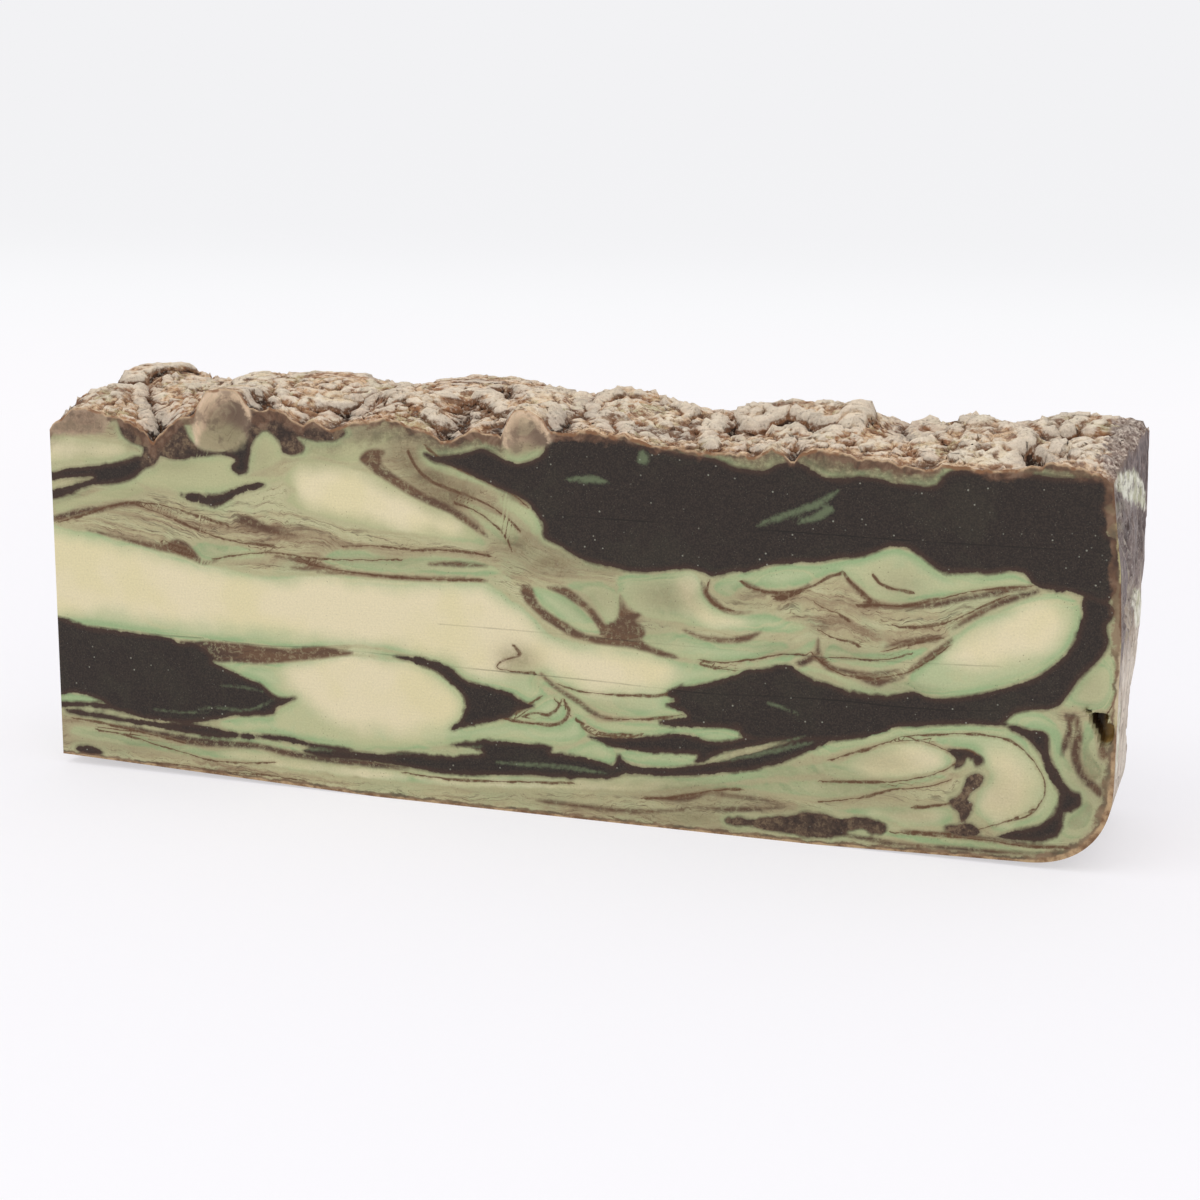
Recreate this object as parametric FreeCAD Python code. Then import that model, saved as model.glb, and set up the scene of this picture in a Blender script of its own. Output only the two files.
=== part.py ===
"""Swirled soap loaf: one solid bar of cold-process soap, modelled in millimetres.

The loaf was poured into a mould as one piece and then cut lengthwise, so it is a single solid.
Row frame: +X runs along the loaf, +Y from the cut face to the moulded back, +Z up. The origin is
the centre of the loaf's footprint, on the surface that it stands on.

- Side outline (X-Z): a wire-cut left end, a flat sole that lifts a little towards both ends, a large
  round toe under the right end, and ends that lean in towards the top.
- The cut face is flat. The sole, the back and the right end were against the mould, so the edges
  between them are rounded.
- The top was spooned into folds while soft: a wavy crest where the cut runs through them, a low
  crown behind it, ridges and hollows that run every way, plates and rolls lapped over them, and
  crevices between those.
- The right end carries upright folds of the mould's liner. An air pocket opens in the cut face
  beside it, and a bubble has burst in the top.
"""

import FreeCAD
import Part

import math
import os

# Driving dimensions, in millimetres: the loaf's length and depth, and the usual height of the crest
# above the surface that the loaf stands on.
LOAF_LENGTH = 255.0
LOAF_DEPTH = 50.0
CREST_HEIGHT = 87.5

# Sole and ends: how far the sole lifts at each end, over what run it does so, the round toe under
# the right end, and how far each end leans in by the time it reaches the crest.
LEFT_LIFT = 2.4
LEFT_LIFT_RUN = 85.0
RIGHT_LIFT = 1.2
RIGHT_LIFT_RUN = 46.0
TOE_RADIUS = 19.0
LEFT_END_LEAN = 1.0
RIGHT_END_LEAN = 1.5

# Rounded edges left by the mould, along the back of the sole and up the back of the right end.
MOULD_EDGE_RADIUS = 9.0

# Top surface: spacing of the points that the skin passes through, how far it overhangs the loaf,
# how far behind the cut face the crest's own shape dies away, how far behind it the crown is
# reached, and the spare height above the crest, which the top is cut out of.
TOP_STEP_ALONG = 6.3
TOP_STEP_ACROSS = 5.6
TOP_OVERHANG = 6.0
CREST_FADE = 8.0
CROWN_START = 12.0
SPARE_HEIGHT = 20.0

# Crest of the cut face: place along the loaf as a share of its length, and height above CREST_HEIGHT.
CREST = (
    (0.000, -4.5), (0.025, 0.8), (0.060, 0.6), (0.090, -0.6), (0.113, -3.9), (0.135, -0.6),
    (0.155, 1.0), (0.180, 7.2), (0.198, 6.0), (0.218, 3.0), (0.245, 3.0), (0.268, 0.6),
    (0.285, 1.2), (0.300, 0.0), (0.343, 2.3), (0.380, 0.8), (0.405, -1.6), (0.435, 1.0),
    (0.455, 0.6), (0.478, 5.0), (0.492, 5.0), (0.512, 1.2), (0.545, 2.3), (0.580, 1.2),
    (0.620, -0.4), (0.665, -1.6), (0.704, 0.0), (0.722, -1.8), (0.745, 0.6), (0.775, 0.0),
    (0.805, -1.2), (0.839, -2.0), (0.870, -1.6), (0.915, -0.4), (0.950, 0.4), (1.000, -2.0),
)

# Crown behind the crest, as far as the back: place along the loaf and height as for the crest.
CROWN = (
    (0.000, 1.6), (0.030, 3.4), (0.060, 2.4), (0.090, 1.8), (0.140, 3.0), (0.180, 4.4),
    (0.280, 2.8), (0.330, 5.8), (0.420, 5.0), (0.465, 2.8), (0.510, 4.2), (0.570, 0.6),
    (0.630, 0.0), (0.665, -0.8), (0.745, 0.8), (0.785, -0.8), (0.820, 0.6), (0.840, 1.0),
    (0.875, -1.2), (0.915, 0.6), (1.000, 1.0),
)

# Folds of the spooned top, ridges (rise > 0) and hollows (rise < 0): place along and across the
# loaf as shares of its length and depth, then rise, reach along the fold and reach across it in
# millimetres, and the fold's turn in degrees from the loaf's length towards its back.
FOLDS = (
    (0.025, 0.80, 3.0, 16.0, 8.5, 20.0),
    (0.080, 0.40, 1.8, 10.0, 7.0, 70.0),
    (0.085, 0.24, -2.8, 15.0, 5.5, 122.0),
    (0.150, 0.66, 2.2, 13.0, 7.5, 100.0),
    (0.190, 0.18, 2.4, 8.0, 7.0, 80.0),
    (0.235, 0.72, 2.6, 15.0, 10.0, 0.0),
    (0.300, 0.26, -2.4, 11.0, 5.5, 65.0),
    (0.328, 0.88, -2.0, 8.0, 6.5, 0.0),
    (0.355, 0.34, 1.8, 15.0, 6.0, 128.0),
    (0.380, 0.62, 2.6, 13.0, 9.0, 10.0),
    (0.410, 0.22, -2.0, 9.0, 6.0, 100.0),
    (0.465, 0.46, 2.8, 13.0, 7.5, 95.0),
    (0.504, 0.56, -2.8, 15.0, 5.5, 100.0),
    (0.560, 0.60, 2.2, 14.0, 10.0, 15.0),
    (0.620, 0.26, -1.8, 13.0, 6.5, 20.0),
    (0.690, 0.72, 3.4, 15.0, 7.5, 5.0),
    (0.715, 0.38, -2.0, 11.0, 5.5, 25.0),
    (0.750, 0.56, 2.0, 9.0, 8.0, 60.0),
    (0.810, 0.70, -3.2, 13.0, 8.0, 80.0),
    (0.865, 0.56, 3.0, 14.0, 7.0, 125.0),
    (0.920, 0.16, -3.4, 8.0, 6.0, 10.0),
    (0.945, 0.74, 2.8, 15.0, 9.0, 0.0),
)

# Plates and rolls laid on the folded top (rise > 0) and crevices in it (rise < 0): corners as
# shares of the loaf's length and of its depth behind the cut face, then the rise in millimetres.
PLATES = (
    (((-0.008, 0.56), (0.035, 0.56), (0.039, 0.76), (0.059, 0.92), (0.051, 1.04), (-0.008, 1.04)), 1.8),
    (((0.149, 0.50), (0.149, 0.70), (0.161, 0.76), (0.200, 0.50), (0.231, 0.18), (0.208, 0.18)), 1.3),
    (((0.188, 0.60), (0.212, 0.84), (0.259, 0.80), (0.298, 0.50), (0.282, 0.32), (0.235, 0.18),
      (0.200, 0.42)), 1.5),
    (((0.486, 0.76), (0.506, 0.96), (0.557, 0.96), (0.604, 0.64), (0.592, 0.54), (0.549, 0.84),
      (0.514, 0.80), (0.514, 0.36), (0.502, 0.36)), 1.7),
    (((0.639, 0.60), (0.643, 0.82), (0.663, 0.94), (0.725, 0.94), (0.761, 0.62), (0.753, 0.42),
      (0.698, 0.60), (0.655, 0.52)), 2.3),
    (((0.745, 0.56), (0.753, 0.96), (0.788, 0.80), (0.804, 0.28), (0.776, 0.18)), 1.2),
    (((0.788, 0.72), (0.788, 0.92), (0.816, 0.94), (0.816, 0.72)), 1.9),
    (((0.831, 0.90), (0.847, 0.96), (0.882, 0.76), (0.910, 0.40), (0.898, 0.26), (0.859, 0.24)), 1.7),
    (((0.855, 0.06), (0.859, 0.20), (0.894, 0.26), (0.910, 0.18), (0.886, 0.08)), 1.0),
    (((0.906, 0.64), (0.922, 0.86), (0.945, 0.84), (0.941, 0.54), (0.918, 0.54)), 1.4),
    (((0.949, 0.60), (0.957, 1.04), (1.012, 1.04), (1.012, 0.60)), 1.2),
)
CREVICES = (
    (((0.043, 0.56), (0.055, 0.54), (0.114, 0.16), (0.106, 0.08), (0.086, 0.18)), -2.2),
    (((0.314, 0.74), (0.333, 0.82), (0.376, 0.40), (0.361, 0.30)), -1.5),
    (((0.408, 0.56), (0.431, 0.62), (0.447, 0.40), (0.427, 0.40)), -1.8),
    (((0.663, 0.48), (0.690, 0.56), (0.745, 0.41), (0.725, 0.39)), -2.0),
)

# Upright liner folds on the right end: distance in front of the back face, height of the lower
# tip, height of the upper tip, and sideways drift of the upper tip.
LINER_FOLDS = (
    (10.0, 34.0, 76.0, 2.5),
    (17.0, 26.0, 70.0, 3.0),
    (25.0, 38.0, 74.0, 1.5),
)
LINER_FOLD_RADIUS = 3.5
LINER_FOLD_DEPTH = 0.8

# Air pocket in the cut face beside the right end: corners as distance in from the loaf's
# rightmost point and height above the sole, then the pocket's depth.
AIR_POCKET = (
    (6.9, 37.2), (4.3, 35.2), (2.6, 35.0), (1.6, 33.4), (2.0, 30.4), (3.4, 28.6), (4.6, 30.4),
    (5.1, 33.2),
)
AIR_POCKET_DEPTH = 5.0

# Burst bubble in the top behind the crest, near the right end: its place along the loaf as a share
# of the length, how far its middle lies behind the cut face, its radius, and how far the middle
# stands above the folded top.
BUBBLE_ALONG = 0.935
BUBBLE_INSET = 6.5
BUBBLE_RADIUS = 4.5
BUBBLE_STAND = 0.6

# How far a cutting solid reaches past the face that it opens, and how near counts as touching.
CUT_PAST = 1.0
TOUCH = 0.01

LEFT_X = -LOAF_LENGTH / 2
RIGHT_X = LOAF_LENGTH / 2
CUT_Y = -LOAF_DEPTH / 2
BACK_Y = LOAF_DEPTH / 2
TOE_TOP = RIGHT_LIFT + TOE_RADIUS
CEILING = CREST_HEIGHT + SPARE_HEIGHT


def left_end_x(height):
    """Where the left end stands at a height."""
    return LEFT_X + LEFT_END_LEAN * (height - LEFT_LIFT) / (CREST_HEIGHT - LEFT_LIFT)


def right_end_x(height):
    """Where the right end stands at a height above its round toe."""
    return RIGHT_X - RIGHT_END_LEAN * (height - TOE_TOP) / (CREST_HEIGHT - TOE_TOP)


def profile_rise(profile, share):
    """Height that the crest or the crown has at a share of the length, straight between its points."""
    share = min(max(share, profile[0][0]), profile[-1][0])
    for (start, low), (end, high) in zip(profile, profile[1:]):
        if share <= end:
            return low + (high - low) * (share - start) / (end - start)
    return profile[-1][1]


def top_height(x, y):
    """Height of the folded top over a point of the footprint."""
    along = (x - LEFT_X) / LOAF_LENGTH
    inset = max(y - CUT_Y, 0.0)
    crown = profile_rise(CROWN, along) * (1 - math.exp(-((inset / CROWN_START) ** 2)))
    crest = profile_rise(CREST, along) * math.exp(-((inset / CREST_FADE) ** 2))
    folds = 0.0
    for place, across, rise, reach_along, reach_across, turn in FOLDS:
        dx = x - LEFT_X - place * LOAF_LENGTH
        dy = y - CUT_Y - across * LOAF_DEPTH
        cosine = math.cos(math.radians(turn))
        sine = math.sin(math.radians(turn))
        u = (dx * cosine + dy * sine) / reach_along
        v = (dy * cosine - dx * sine) / reach_across
        folds += rise * math.exp(-(u * u + v * v))
    return CREST_HEIGHT + crown + crest + folds


def steps(low, high, pitch):
    """Evenly spaced values from low to high, about one pitch apart."""
    count = max(2, round((high - low) / pitch))
    return [low + (high - low) * i / count for i in range(count + 1)]


def side_outline():
    """Closed X-Z outline of the loaf at the cut face, carried up to the ceiling."""
    toe_centre = FreeCAD.Vector(RIGHT_X - TOE_RADIUS, CUT_Y, TOE_TOP)
    toe_start = toe_centre + FreeCAD.Vector(0, 0, -TOE_RADIUS)
    toe_middle = toe_centre + FreeCAD.Vector(1, 0, -1) * (TOE_RADIUS * math.sqrt(0.5))
    toe_end = toe_centre + FreeCAD.Vector(TOE_RADIUS, 0, 0)
    flat_start = FreeCAD.Vector(LEFT_X + LEFT_LIFT_RUN, CUT_Y, 0)
    flat_end = FreeCAD.Vector(toe_start.x - RIGHT_LIFT_RUN, CUT_Y, 0)
    left_foot = FreeCAD.Vector(LEFT_X, CUT_Y, LEFT_LIFT)
    left_top = FreeCAD.Vector(left_end_x(CEILING), CUT_Y, CEILING)
    right_top = FreeCAD.Vector(right_end_x(CEILING), CUT_Y, CEILING)
    edges = [
        Part.LineSegment(left_foot, flat_start).toShape(),
        Part.LineSegment(flat_start, flat_end).toShape(),
        Part.LineSegment(flat_end, toe_start).toShape(),
        Part.Arc(toe_start, toe_middle, toe_end).toShape(),
        Part.LineSegment(toe_end, right_top).toShape(),
        Part.LineSegment(right_top, left_top).toShape(),
        Part.LineSegment(left_top, left_foot).toShape(),
    ]
    return Part.Wire(edges)


def is_moulded_edge(edge):
    """True for an edge of the back face along the sole, round the toe or up the right end."""
    middle = edge.valueAt((edge.FirstParameter + edge.LastParameter) / 2)
    in_back = all(abs(vertex.Y - BACK_Y) < TOUCH for vertex in edge.Vertexes)
    return in_back and middle.x > left_end_x(CEILING) and middle.z < CEILING - TOUCH


def poured_block():
    """The side outline carried through the loaf's depth, with the moulded edges rounded."""
    block = Part.Face(side_outline()).extrude(FreeCAD.Vector(0, LOAF_DEPTH, 0))
    moulded = [edge for edge in block.Edges if is_moulded_edge(edge)]
    return block.makeFillet(min(MOULD_EDGE_RADIUS, TOE_RADIUS - TOUCH), moulded)


def air_above():
    """Everything above the folded top, as one solid to cut away."""
    across = steps(CUT_Y - TOP_OVERHANG, BACK_Y + TOP_OVERHANG, TOP_STEP_ACROSS)
    along = steps(LEFT_X - TOP_OVERHANG, RIGHT_X + TOP_OVERHANG, TOP_STEP_ALONG)
    grid = [[FreeCAD.Vector(x, y, top_height(x, y)) for y in across] for x in along]
    skin = Part.BSplineSurface()
    skin.interpolate(grid)
    return skin.toShape().extrude(FreeCAD.Vector(0, 0, 2 * SPARE_HEIGHT))


def column(corners):
    """An upright column over a polygon of the footprint, from inside the loaf to the ceiling."""
    floor = CREST_HEIGHT - SPARE_HEIGHT
    points = [
        FreeCAD.Vector(LEFT_X + along * LOAF_LENGTH, CUT_Y + across * LOAF_DEPTH, floor)
        for along, across in corners
    ]
    outline = Part.makePolygon(points + points[:1])
    return Part.Face(outline).extrude(FreeCAD.Vector(0, 0, CEILING - floor))


def spooned_top(block):
    """The block cut down to the folded top, with its plates raised and its crevices sunk."""
    air = air_above()
    plates = []
    for corners, rise in PLATES:
        raised_air = air.translated(FreeCAD.Vector(0, 0, rise))
        plates.append(block.common(column(corners)).cut(raised_air))
    hollows = []
    for corners, rise in CREVICES:
        lowered_air = air.translated(FreeCAD.Vector(0, 0, rise))
        hollows.append(column(corners).common(lowered_air))
    return block.cut(air).fuse(plates).cut(hollows)


def liner_folds():
    """Upright round-bottomed grooves in the right end, as solids to cut away."""
    stand_off = LINER_FOLD_RADIUS - LINER_FOLD_DEPTH
    grooves = []
    for inset, low, high, drift in LINER_FOLDS:
        foot = FreeCAD.Vector(right_end_x(low) + stand_off, BACK_Y - inset, low)
        tip = FreeCAD.Vector(right_end_x(high) + stand_off, BACK_Y - inset + drift, high)
        groove = Part.makeCylinder(LINER_FOLD_RADIUS, (tip - foot).Length, foot, tip - foot)
        ends = [Part.makeSphere(LINER_FOLD_RADIUS, end) for end in (foot, tip)]
        grooves.append(groove.fuse(ends))
    return grooves


def air_pocket():
    """The angular hollow in the cut face, as a solid to cut away."""
    front = CUT_Y - CUT_PAST
    corners = [FreeCAD.Vector(RIGHT_X - inset, front, height) for inset, height in AIR_POCKET]
    outline = Part.makePolygon(corners + corners[:1])
    return Part.Face(outline).extrude(FreeCAD.Vector(0, CUT_PAST + AIR_POCKET_DEPTH, 0))


def burst_bubble():
    """The hollow left by a bubble behind the crest, as a solid to cut away."""
    x = LEFT_X + BUBBLE_ALONG * LOAF_LENGTH
    y = CUT_Y + BUBBLE_INSET
    return Part.makeSphere(BUBBLE_RADIUS, FreeCAD.Vector(x, y, top_height(x, y) + BUBBLE_STAND))


def soap_loaf():
    """The finished loaf, as one solid."""
    loaf = spooned_top(poured_block())
    loaf = loaf.cut([*liner_folds(), air_pocket(), burst_bubble()])
    return max(loaf.Solids, key=lambda solid: solid.Volume)


def main():
    """Builds the loaf and writes its STEP file."""
    os.makedirs("parts", exist_ok=True)
    loaf = soap_loaf()
    box = loaf.optimalBoundingBox(False)
    print("valid", loaf.isValid(), "volume cm3", round(loaf.Volume / 1000, 1), "faces", len(loaf.Faces))
    print("box", [round(v, 2) for v in (box.XMin, box.XMax, box.YMin, box.YMax, box.ZMin, box.ZMax)])
    loaf.exportStep("parts/soap_loaf.step")


main()
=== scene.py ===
"""Swirled soap loaf, dressed for rendering: one bar of cold-process soap on a pale studio floor.

The loaf is one closed mesh that stands for the CAD solid. Its skin is swept along the loaf: at each
station a ring of points runs up the flat cut face, over the spooned top, down the moulded back and
along the sole, and the two ends are closed by rings that shrink to a pole.

- The marbling is laid out in millimetres on the cut face: closed outlines of dark, red-brown, green
  and cream soap. Each point of the skin carries its depth inside those outlines, and its place
  across the flow round them, from which the materials draw the fine streaks.
- The top is the CAD's folded surface with raised plates, rolled lips, rosettes and crumbs on it.
"""

import logging
import math
from dataclasses import dataclass, field
from enum import Enum

import bpy
import numpy as np
from mathutils import Euler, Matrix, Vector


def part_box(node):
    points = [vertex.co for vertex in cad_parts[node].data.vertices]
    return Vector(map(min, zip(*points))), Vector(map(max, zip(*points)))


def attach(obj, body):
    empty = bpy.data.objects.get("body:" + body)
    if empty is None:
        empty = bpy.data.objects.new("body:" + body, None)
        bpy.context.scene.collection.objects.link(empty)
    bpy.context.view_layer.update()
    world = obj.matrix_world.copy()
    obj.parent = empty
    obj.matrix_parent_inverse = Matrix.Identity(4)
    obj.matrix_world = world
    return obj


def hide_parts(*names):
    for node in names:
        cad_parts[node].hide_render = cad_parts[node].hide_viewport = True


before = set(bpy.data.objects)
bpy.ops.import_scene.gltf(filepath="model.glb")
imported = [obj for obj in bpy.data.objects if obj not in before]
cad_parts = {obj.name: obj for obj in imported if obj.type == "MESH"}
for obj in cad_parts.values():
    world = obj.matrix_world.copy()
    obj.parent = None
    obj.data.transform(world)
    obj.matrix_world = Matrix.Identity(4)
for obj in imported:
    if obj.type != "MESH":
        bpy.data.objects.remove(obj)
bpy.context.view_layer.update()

log = logging.getLogger("soap_loaf")

MM = 0.001
TOUCHING = 0.01  # points this close to the cut face lie on it, in millimetres
OUTSIDE = -9.0  # depth given to points that a layer can't reach
AWAY = -50.0  # place given to points that a pattern doesn't reach
Point = tuple[float, float]
Outline = tuple[Point, ...]
Layer = dict[str, Outline]
Curve = tuple[tuple[float, ...], tuple[float, ...]]
Colour = tuple[float, float, float, float]

# Bodies of dark soap on the cut face. Every outline here gives place from the left end and height.
DARK: Layer = {
    "left block": ((-4, 36.3), (4, 36.4), (9, 35.2), (20, 34.7), (31, 34.3), (34, 33), (38, 33.4),
        (43, 30.5), (42.5, 29.2), (46, 28), (50, 26.3), (55, 24.9), (58, 22.7), (60.5, 21.8), (64.5, 22.4),
        (61.5, 20.6), (59, 19.4), (58.5, 17.9), (55, 17.3), (49, 16.6), (43, 15), (36, 13.6), (28, 13.3),
        (20, 14.1), (14.5, 15.2), (11.5, 17), (5, 18.2), (-4, 18.8)),
    "band upper left": ((-4, 15.4), (3, 15.7), (9, 16.2), (14, 15.9), (14, 15), (8, 15.2), (2, 14.6),
        (-4, 14.3)),
    "band two left": ((2, 13.9), (10, 13.6), (20, 12.9), (30, 12.9), (38, 13.3), (43, 12.7), (50, 12.1),
        (57, 12.5), (64, 12.1), (70, 11.3), (78, 11), (78, 10.2), (70, 10.2), (63, 11.2), (56, 11.3),
        (50, 11.1), (42, 10.9), (34, 11), (24, 11.7), (12, 12.4), (3, 12.9)),
    "wedge": ((90, 34.6), (96, 34.8), (101, 33.9), (104, 33), (106, 31.6), (108, 30.3), (111, 29.7),
        (115, 29), (118.5, 28.4), (120.5, 27.4), (122.5, 26.3), (124.5, 25.6), (121, 24.4), (119, 22.9),
        (116.5, 21.9), (113.5, 21), (110, 20.1), (107.4, 19.4), (104.2, 18.4), (106.2, 20.4), (107.5, 22.2),
        (107.8, 24.5), (107.2, 26.4), (105.4, 28.6), (102.8, 30.5), (99, 32.4), (95, 33.5)),
    "lower band": ((66, 9.6), (71, 10.6), (76, 10.4), (82, 10.4), (88, 10.7), (93, 11.6), (98, 11.4),
        (104, 11.9), (110, 12.6), (112, 13.4), (109, 14.4), (104, 14.4), (106, 15.2), (111, 16.1),
        (117, 16.6), (124, 16.6), (129, 16.4), (128.5, 15), (133, 14.8), (137, 14.6), (141, 13.8),
        (143.5, 13.3), (144.6, 14.8), (145.2, 16.4), (147, 14.6), (151, 13.9), (156, 14.1), (161, 15),
        (166, 16), (170, 17.2), (174, 18.7), (178, 20.2), (183, 22.2), (188, 24.2), (194, 24.4),
        (190, 21.8), (185, 19.2), (180, 17), (174, 15.3), (168, 14.1), (162, 12.9), (156, 12.4), (150, 12),
        (146, 11.4), (142.5, 10.3), (137, 9.9), (131, 9.4), (124, 9.2), (117, 8.6), (110, 7.9), (102, 7.5),
        (94, 8), (86, 8.5), (78, 8.6), (71, 8.4)),
    "tongue lens": ((138, 19.6), (142, 19.8), (147, 20.2), (151, 20.9), (156, 21.9), (161, 22.4),
        (165, 21.6), (170, 21.6), (176, 23.5), (180, 22.4), (174, 20.4), (168, 18.6), (165.5, 16.6),
        (163, 16.2), (163.8, 17.8), (160, 18.2), (155, 17.7), (149, 17.7), (143.5, 18.2)),
    "mid right": ((156.5, 31.4), (159, 33), (163, 34), (168, 35.3), (171.5, 36.8), (174.5, 38.3), (178, 39),
        (181, 39.8), (184.8, 40.4), (186.3, 39), (190, 37.5), (194, 36.5), (199, 35.4), (205, 35.1),
        (210, 36.2), (212.5, 36.6), (214.5, 35.9), (218, 35.8), (222, 36.4), (226, 37.4), (230, 38.8),
        (234, 40.4), (238, 42.3), (241, 44.7), (243.6, 47.4), (245.6, 51), (246.8, 55.5), (246.6, 59),
        (247.5, 60.6), (251.5, 59.5), (253.4, 57.5), (251.8, 54.5), (252.4, 50.8), (250.6, 47), (248, 44.2),
        (246, 41.5), (244.4, 38.6), (242.6, 36.2), (240, 35.3), (236.5, 34.9), (233.8, 34), (231.8, 32.2),
        (230.6, 31), (226.5, 30.8), (221, 30.4), (215, 29.5), (209, 28.6), (204.5, 26.8), (199.5, 25.2),
        (194.5, 24.2), (188, 23.6), (182, 22.8), (177, 22.4), (174, 23.4), (172.6, 24.9), (168, 24.7),
        (162, 24.2), (155.4, 24), (155.2, 25.2), (159, 26), (161, 26.4), (159.6, 27.8), (156.6, 28.9),
        (158.6, 30.1)),
    "top field": ((98.4, 82.6), (101.5, 82), (104.5, 82.4), (108, 82.9), (112, 84.2), (115, 83.6),
        (118, 82.2), (121.4, 81.5), (125, 82.6), (127.6, 84.4), (128.6, 87.5), (134, 88.3), (140, 88.8),
        (147, 87.8), (154, 86.6), (162, 85.4), (167, 84.9), (172, 83.2), (178, 83), (181.5, 84.7),
        (185.5, 84.9), (188, 83.7), (192, 82.4), (196.5, 82.2), (201, 82.9), (208, 81.7), (214.5, 81.6),
        (217, 83.8), (219, 85.2), (227, 85.4), (236, 85.2), (241, 84.8), (246, 85), (253.6, 84.4),
        (253.4, 81.5), (250.4, 79.2), (252.6, 76.8), (250.6, 74), (253.4, 72), (254, 69), (253.2, 66),
        (253.6, 62.6), (252.6, 60.4), (250.8, 59), (247.6, 59.8), (244.5, 60.9), (240.5, 61.2), (236.5, 62),
        (234.5, 64.2), (231.2, 64.6), (227, 63.7), (222.5, 63.8), (218.5, 63.3), (215, 64.8), (212.5, 66.6),
        (209.5, 68), (205.5, 67.9), (202, 66.4), (199, 65.4), (195, 64.8), (190, 63.6), (185, 63.2),
        (181, 62.6), (177, 61.2), (172, 60.4), (167.5, 59), (164.5, 59.5), (161, 60.2), (157, 59.6),
        (152.5, 58.8), (147.5, 58.8), (143, 59.4), (138.5, 60.1), (134.5, 61.4), (131, 63.4), (127.6, 64.8),
        (127.2, 67.6), (125.8, 70.2), (123.6, 72.6), (119.5, 74.6), (114.5, 76.4), (109.5, 78.4),
        (104.5, 80.2), (100.5, 80.8)),
    "crest left": ((20.2, 84.2), (20.6, 87.6), (24.4, 87.2), (27, 85.2), (29.2, 83.2), (31.6, 84.6),
        (34.6, 87.4), (37, 86.2), (38.4, 83.4), (40.4, 80.8), (44, 80.2), (48.4, 80.6), (51, 82.4),
        (53.6, 84.8), (51.5, 87.2), (47.6, 88.6), (50.6, 89.6), (56, 90), (60.4, 90.6), (64.4, 89.2),
        (67.6, 87.6), (70, 88.4), (72.6, 88), (75.4, 86.4), (79, 86.6), (76.4, 84.6), (71.4, 84.2),
        (66.6, 84.8), (68.4, 82.2), (66, 80.6), (63, 80.9), (62.6, 82.6), (60.9, 84.6), (58.2, 86.2),
        (56.2, 84.4), (54.8, 81.8), (53.9, 78.4), (53.4, 75.9), (51, 75.2), (49.6, 76.6), (50.6, 78.6),
        (47, 79.4), (42, 79), (37.6, 78), (33.6, 77.8), (30.6, 78.4), (29.6, 76.8), (27.6, 75.6),
        (25.4, 76.4), (26.4, 80.2), (22.6, 81.6)),
    "crest tail": ((27.8, 76.8), (24.3, 73.6), (20.6, 71.8), (15.8, 70.8), (11.5, 70.3), (6.5, 68.4),
        (1.5, 66.6), (-4, 65.6), (-4, 67.4), (2, 68.8), (7, 70.2), (12, 71.7), (11.8, 72.4), (7, 72),
        (2, 71.2), (-4, 70.4), (-4, 72.4), (1.3, 72.8), (5.1, 74), (10, 74.6), (16, 75.6), (20.9, 76.6),
        (24.8, 78)),
    "upper lens": ((35.6, 69.4), (40, 69.7), (45, 69.9), (49, 71), (53, 72.7), (57.6, 73.1), (56.4, 72.2),
        (51.5, 70.5), (48, 68.6), (44.6, 67.2), (40.6, 67.6), (37.4, 68.6)),
    "right crescent": ((231, 31.6), (236.5, 30.6), (240.4, 30.1), (241, 27.8), (241.4, 25.2), (242.8, 22.2),
        (244.6, 19.8), (246.4, 17.9), (248, 17.2), (248.2, 15.2), (246.6, 13.9), (244.6, 12.6),
        (244.4, 9.8), (243.6, 7.6), (240.4, 6.4), (236, 6), (231, 6.3), (235.6, 8.2), (239, 9.2),
        (241.4, 10.8), (243, 12.8), (243.9, 15.4), (243.4, 17.8), (241.6, 20.6), (240.4, 23.2), (238.9, 26),
        (236.4, 28.6), (233, 30.4)),
    "hook": ((219.4, 24.6), (222, 24.9), (224.6, 24.6), (226.8, 23.6), (227.2, 22.4), (225.9, 21.6),
        (225.2, 23), (223.6, 23.4), (222.9, 21.4), (221.2, 20.6), (221.6, 22.8)),
    "hook lower": ((224.2, 19.2), (226.8, 19.8), (227.6, 18.6), (226.6, 16.9), (224.8, 15.6), (224.2, 13.9),
        (225.5, 13), (224.8, 10.4), (223.4, 8.7), (222.2, 11), (220.4, 13.2), (222.4, 14.4), (223.4, 16.6)),
    "foot blot": ((219.6, 7), (222.4, 7.9), (225, 8.6), (227.2, 7), (226, 5.9), (222.6, 5.6)),
    "sole patch": ((170.6, 3.4), (174, 4.4), (178, 4.5), (182, 5.4), (186, 6.3), (189, 7.3), (193, 7.1),
        (197, 6.6), (200.5, 7.5), (204, 7.2), (206.8, 6), (206, 4.4), (203.6, 4), (201.4, 4.9),
        (198.6, 4.2), (197, 2.8), (192.5, 1.8), (186, 2), (180, 2.2), (175.6, 2.8), (172.4, 2.6)),
    "sole blot left": ((3.6, 4.2), (6.6, 5), (9.6, 4.6), (11.4, 3.6), (8.6, 2.8), (5.2, 2.9)),
}

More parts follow.
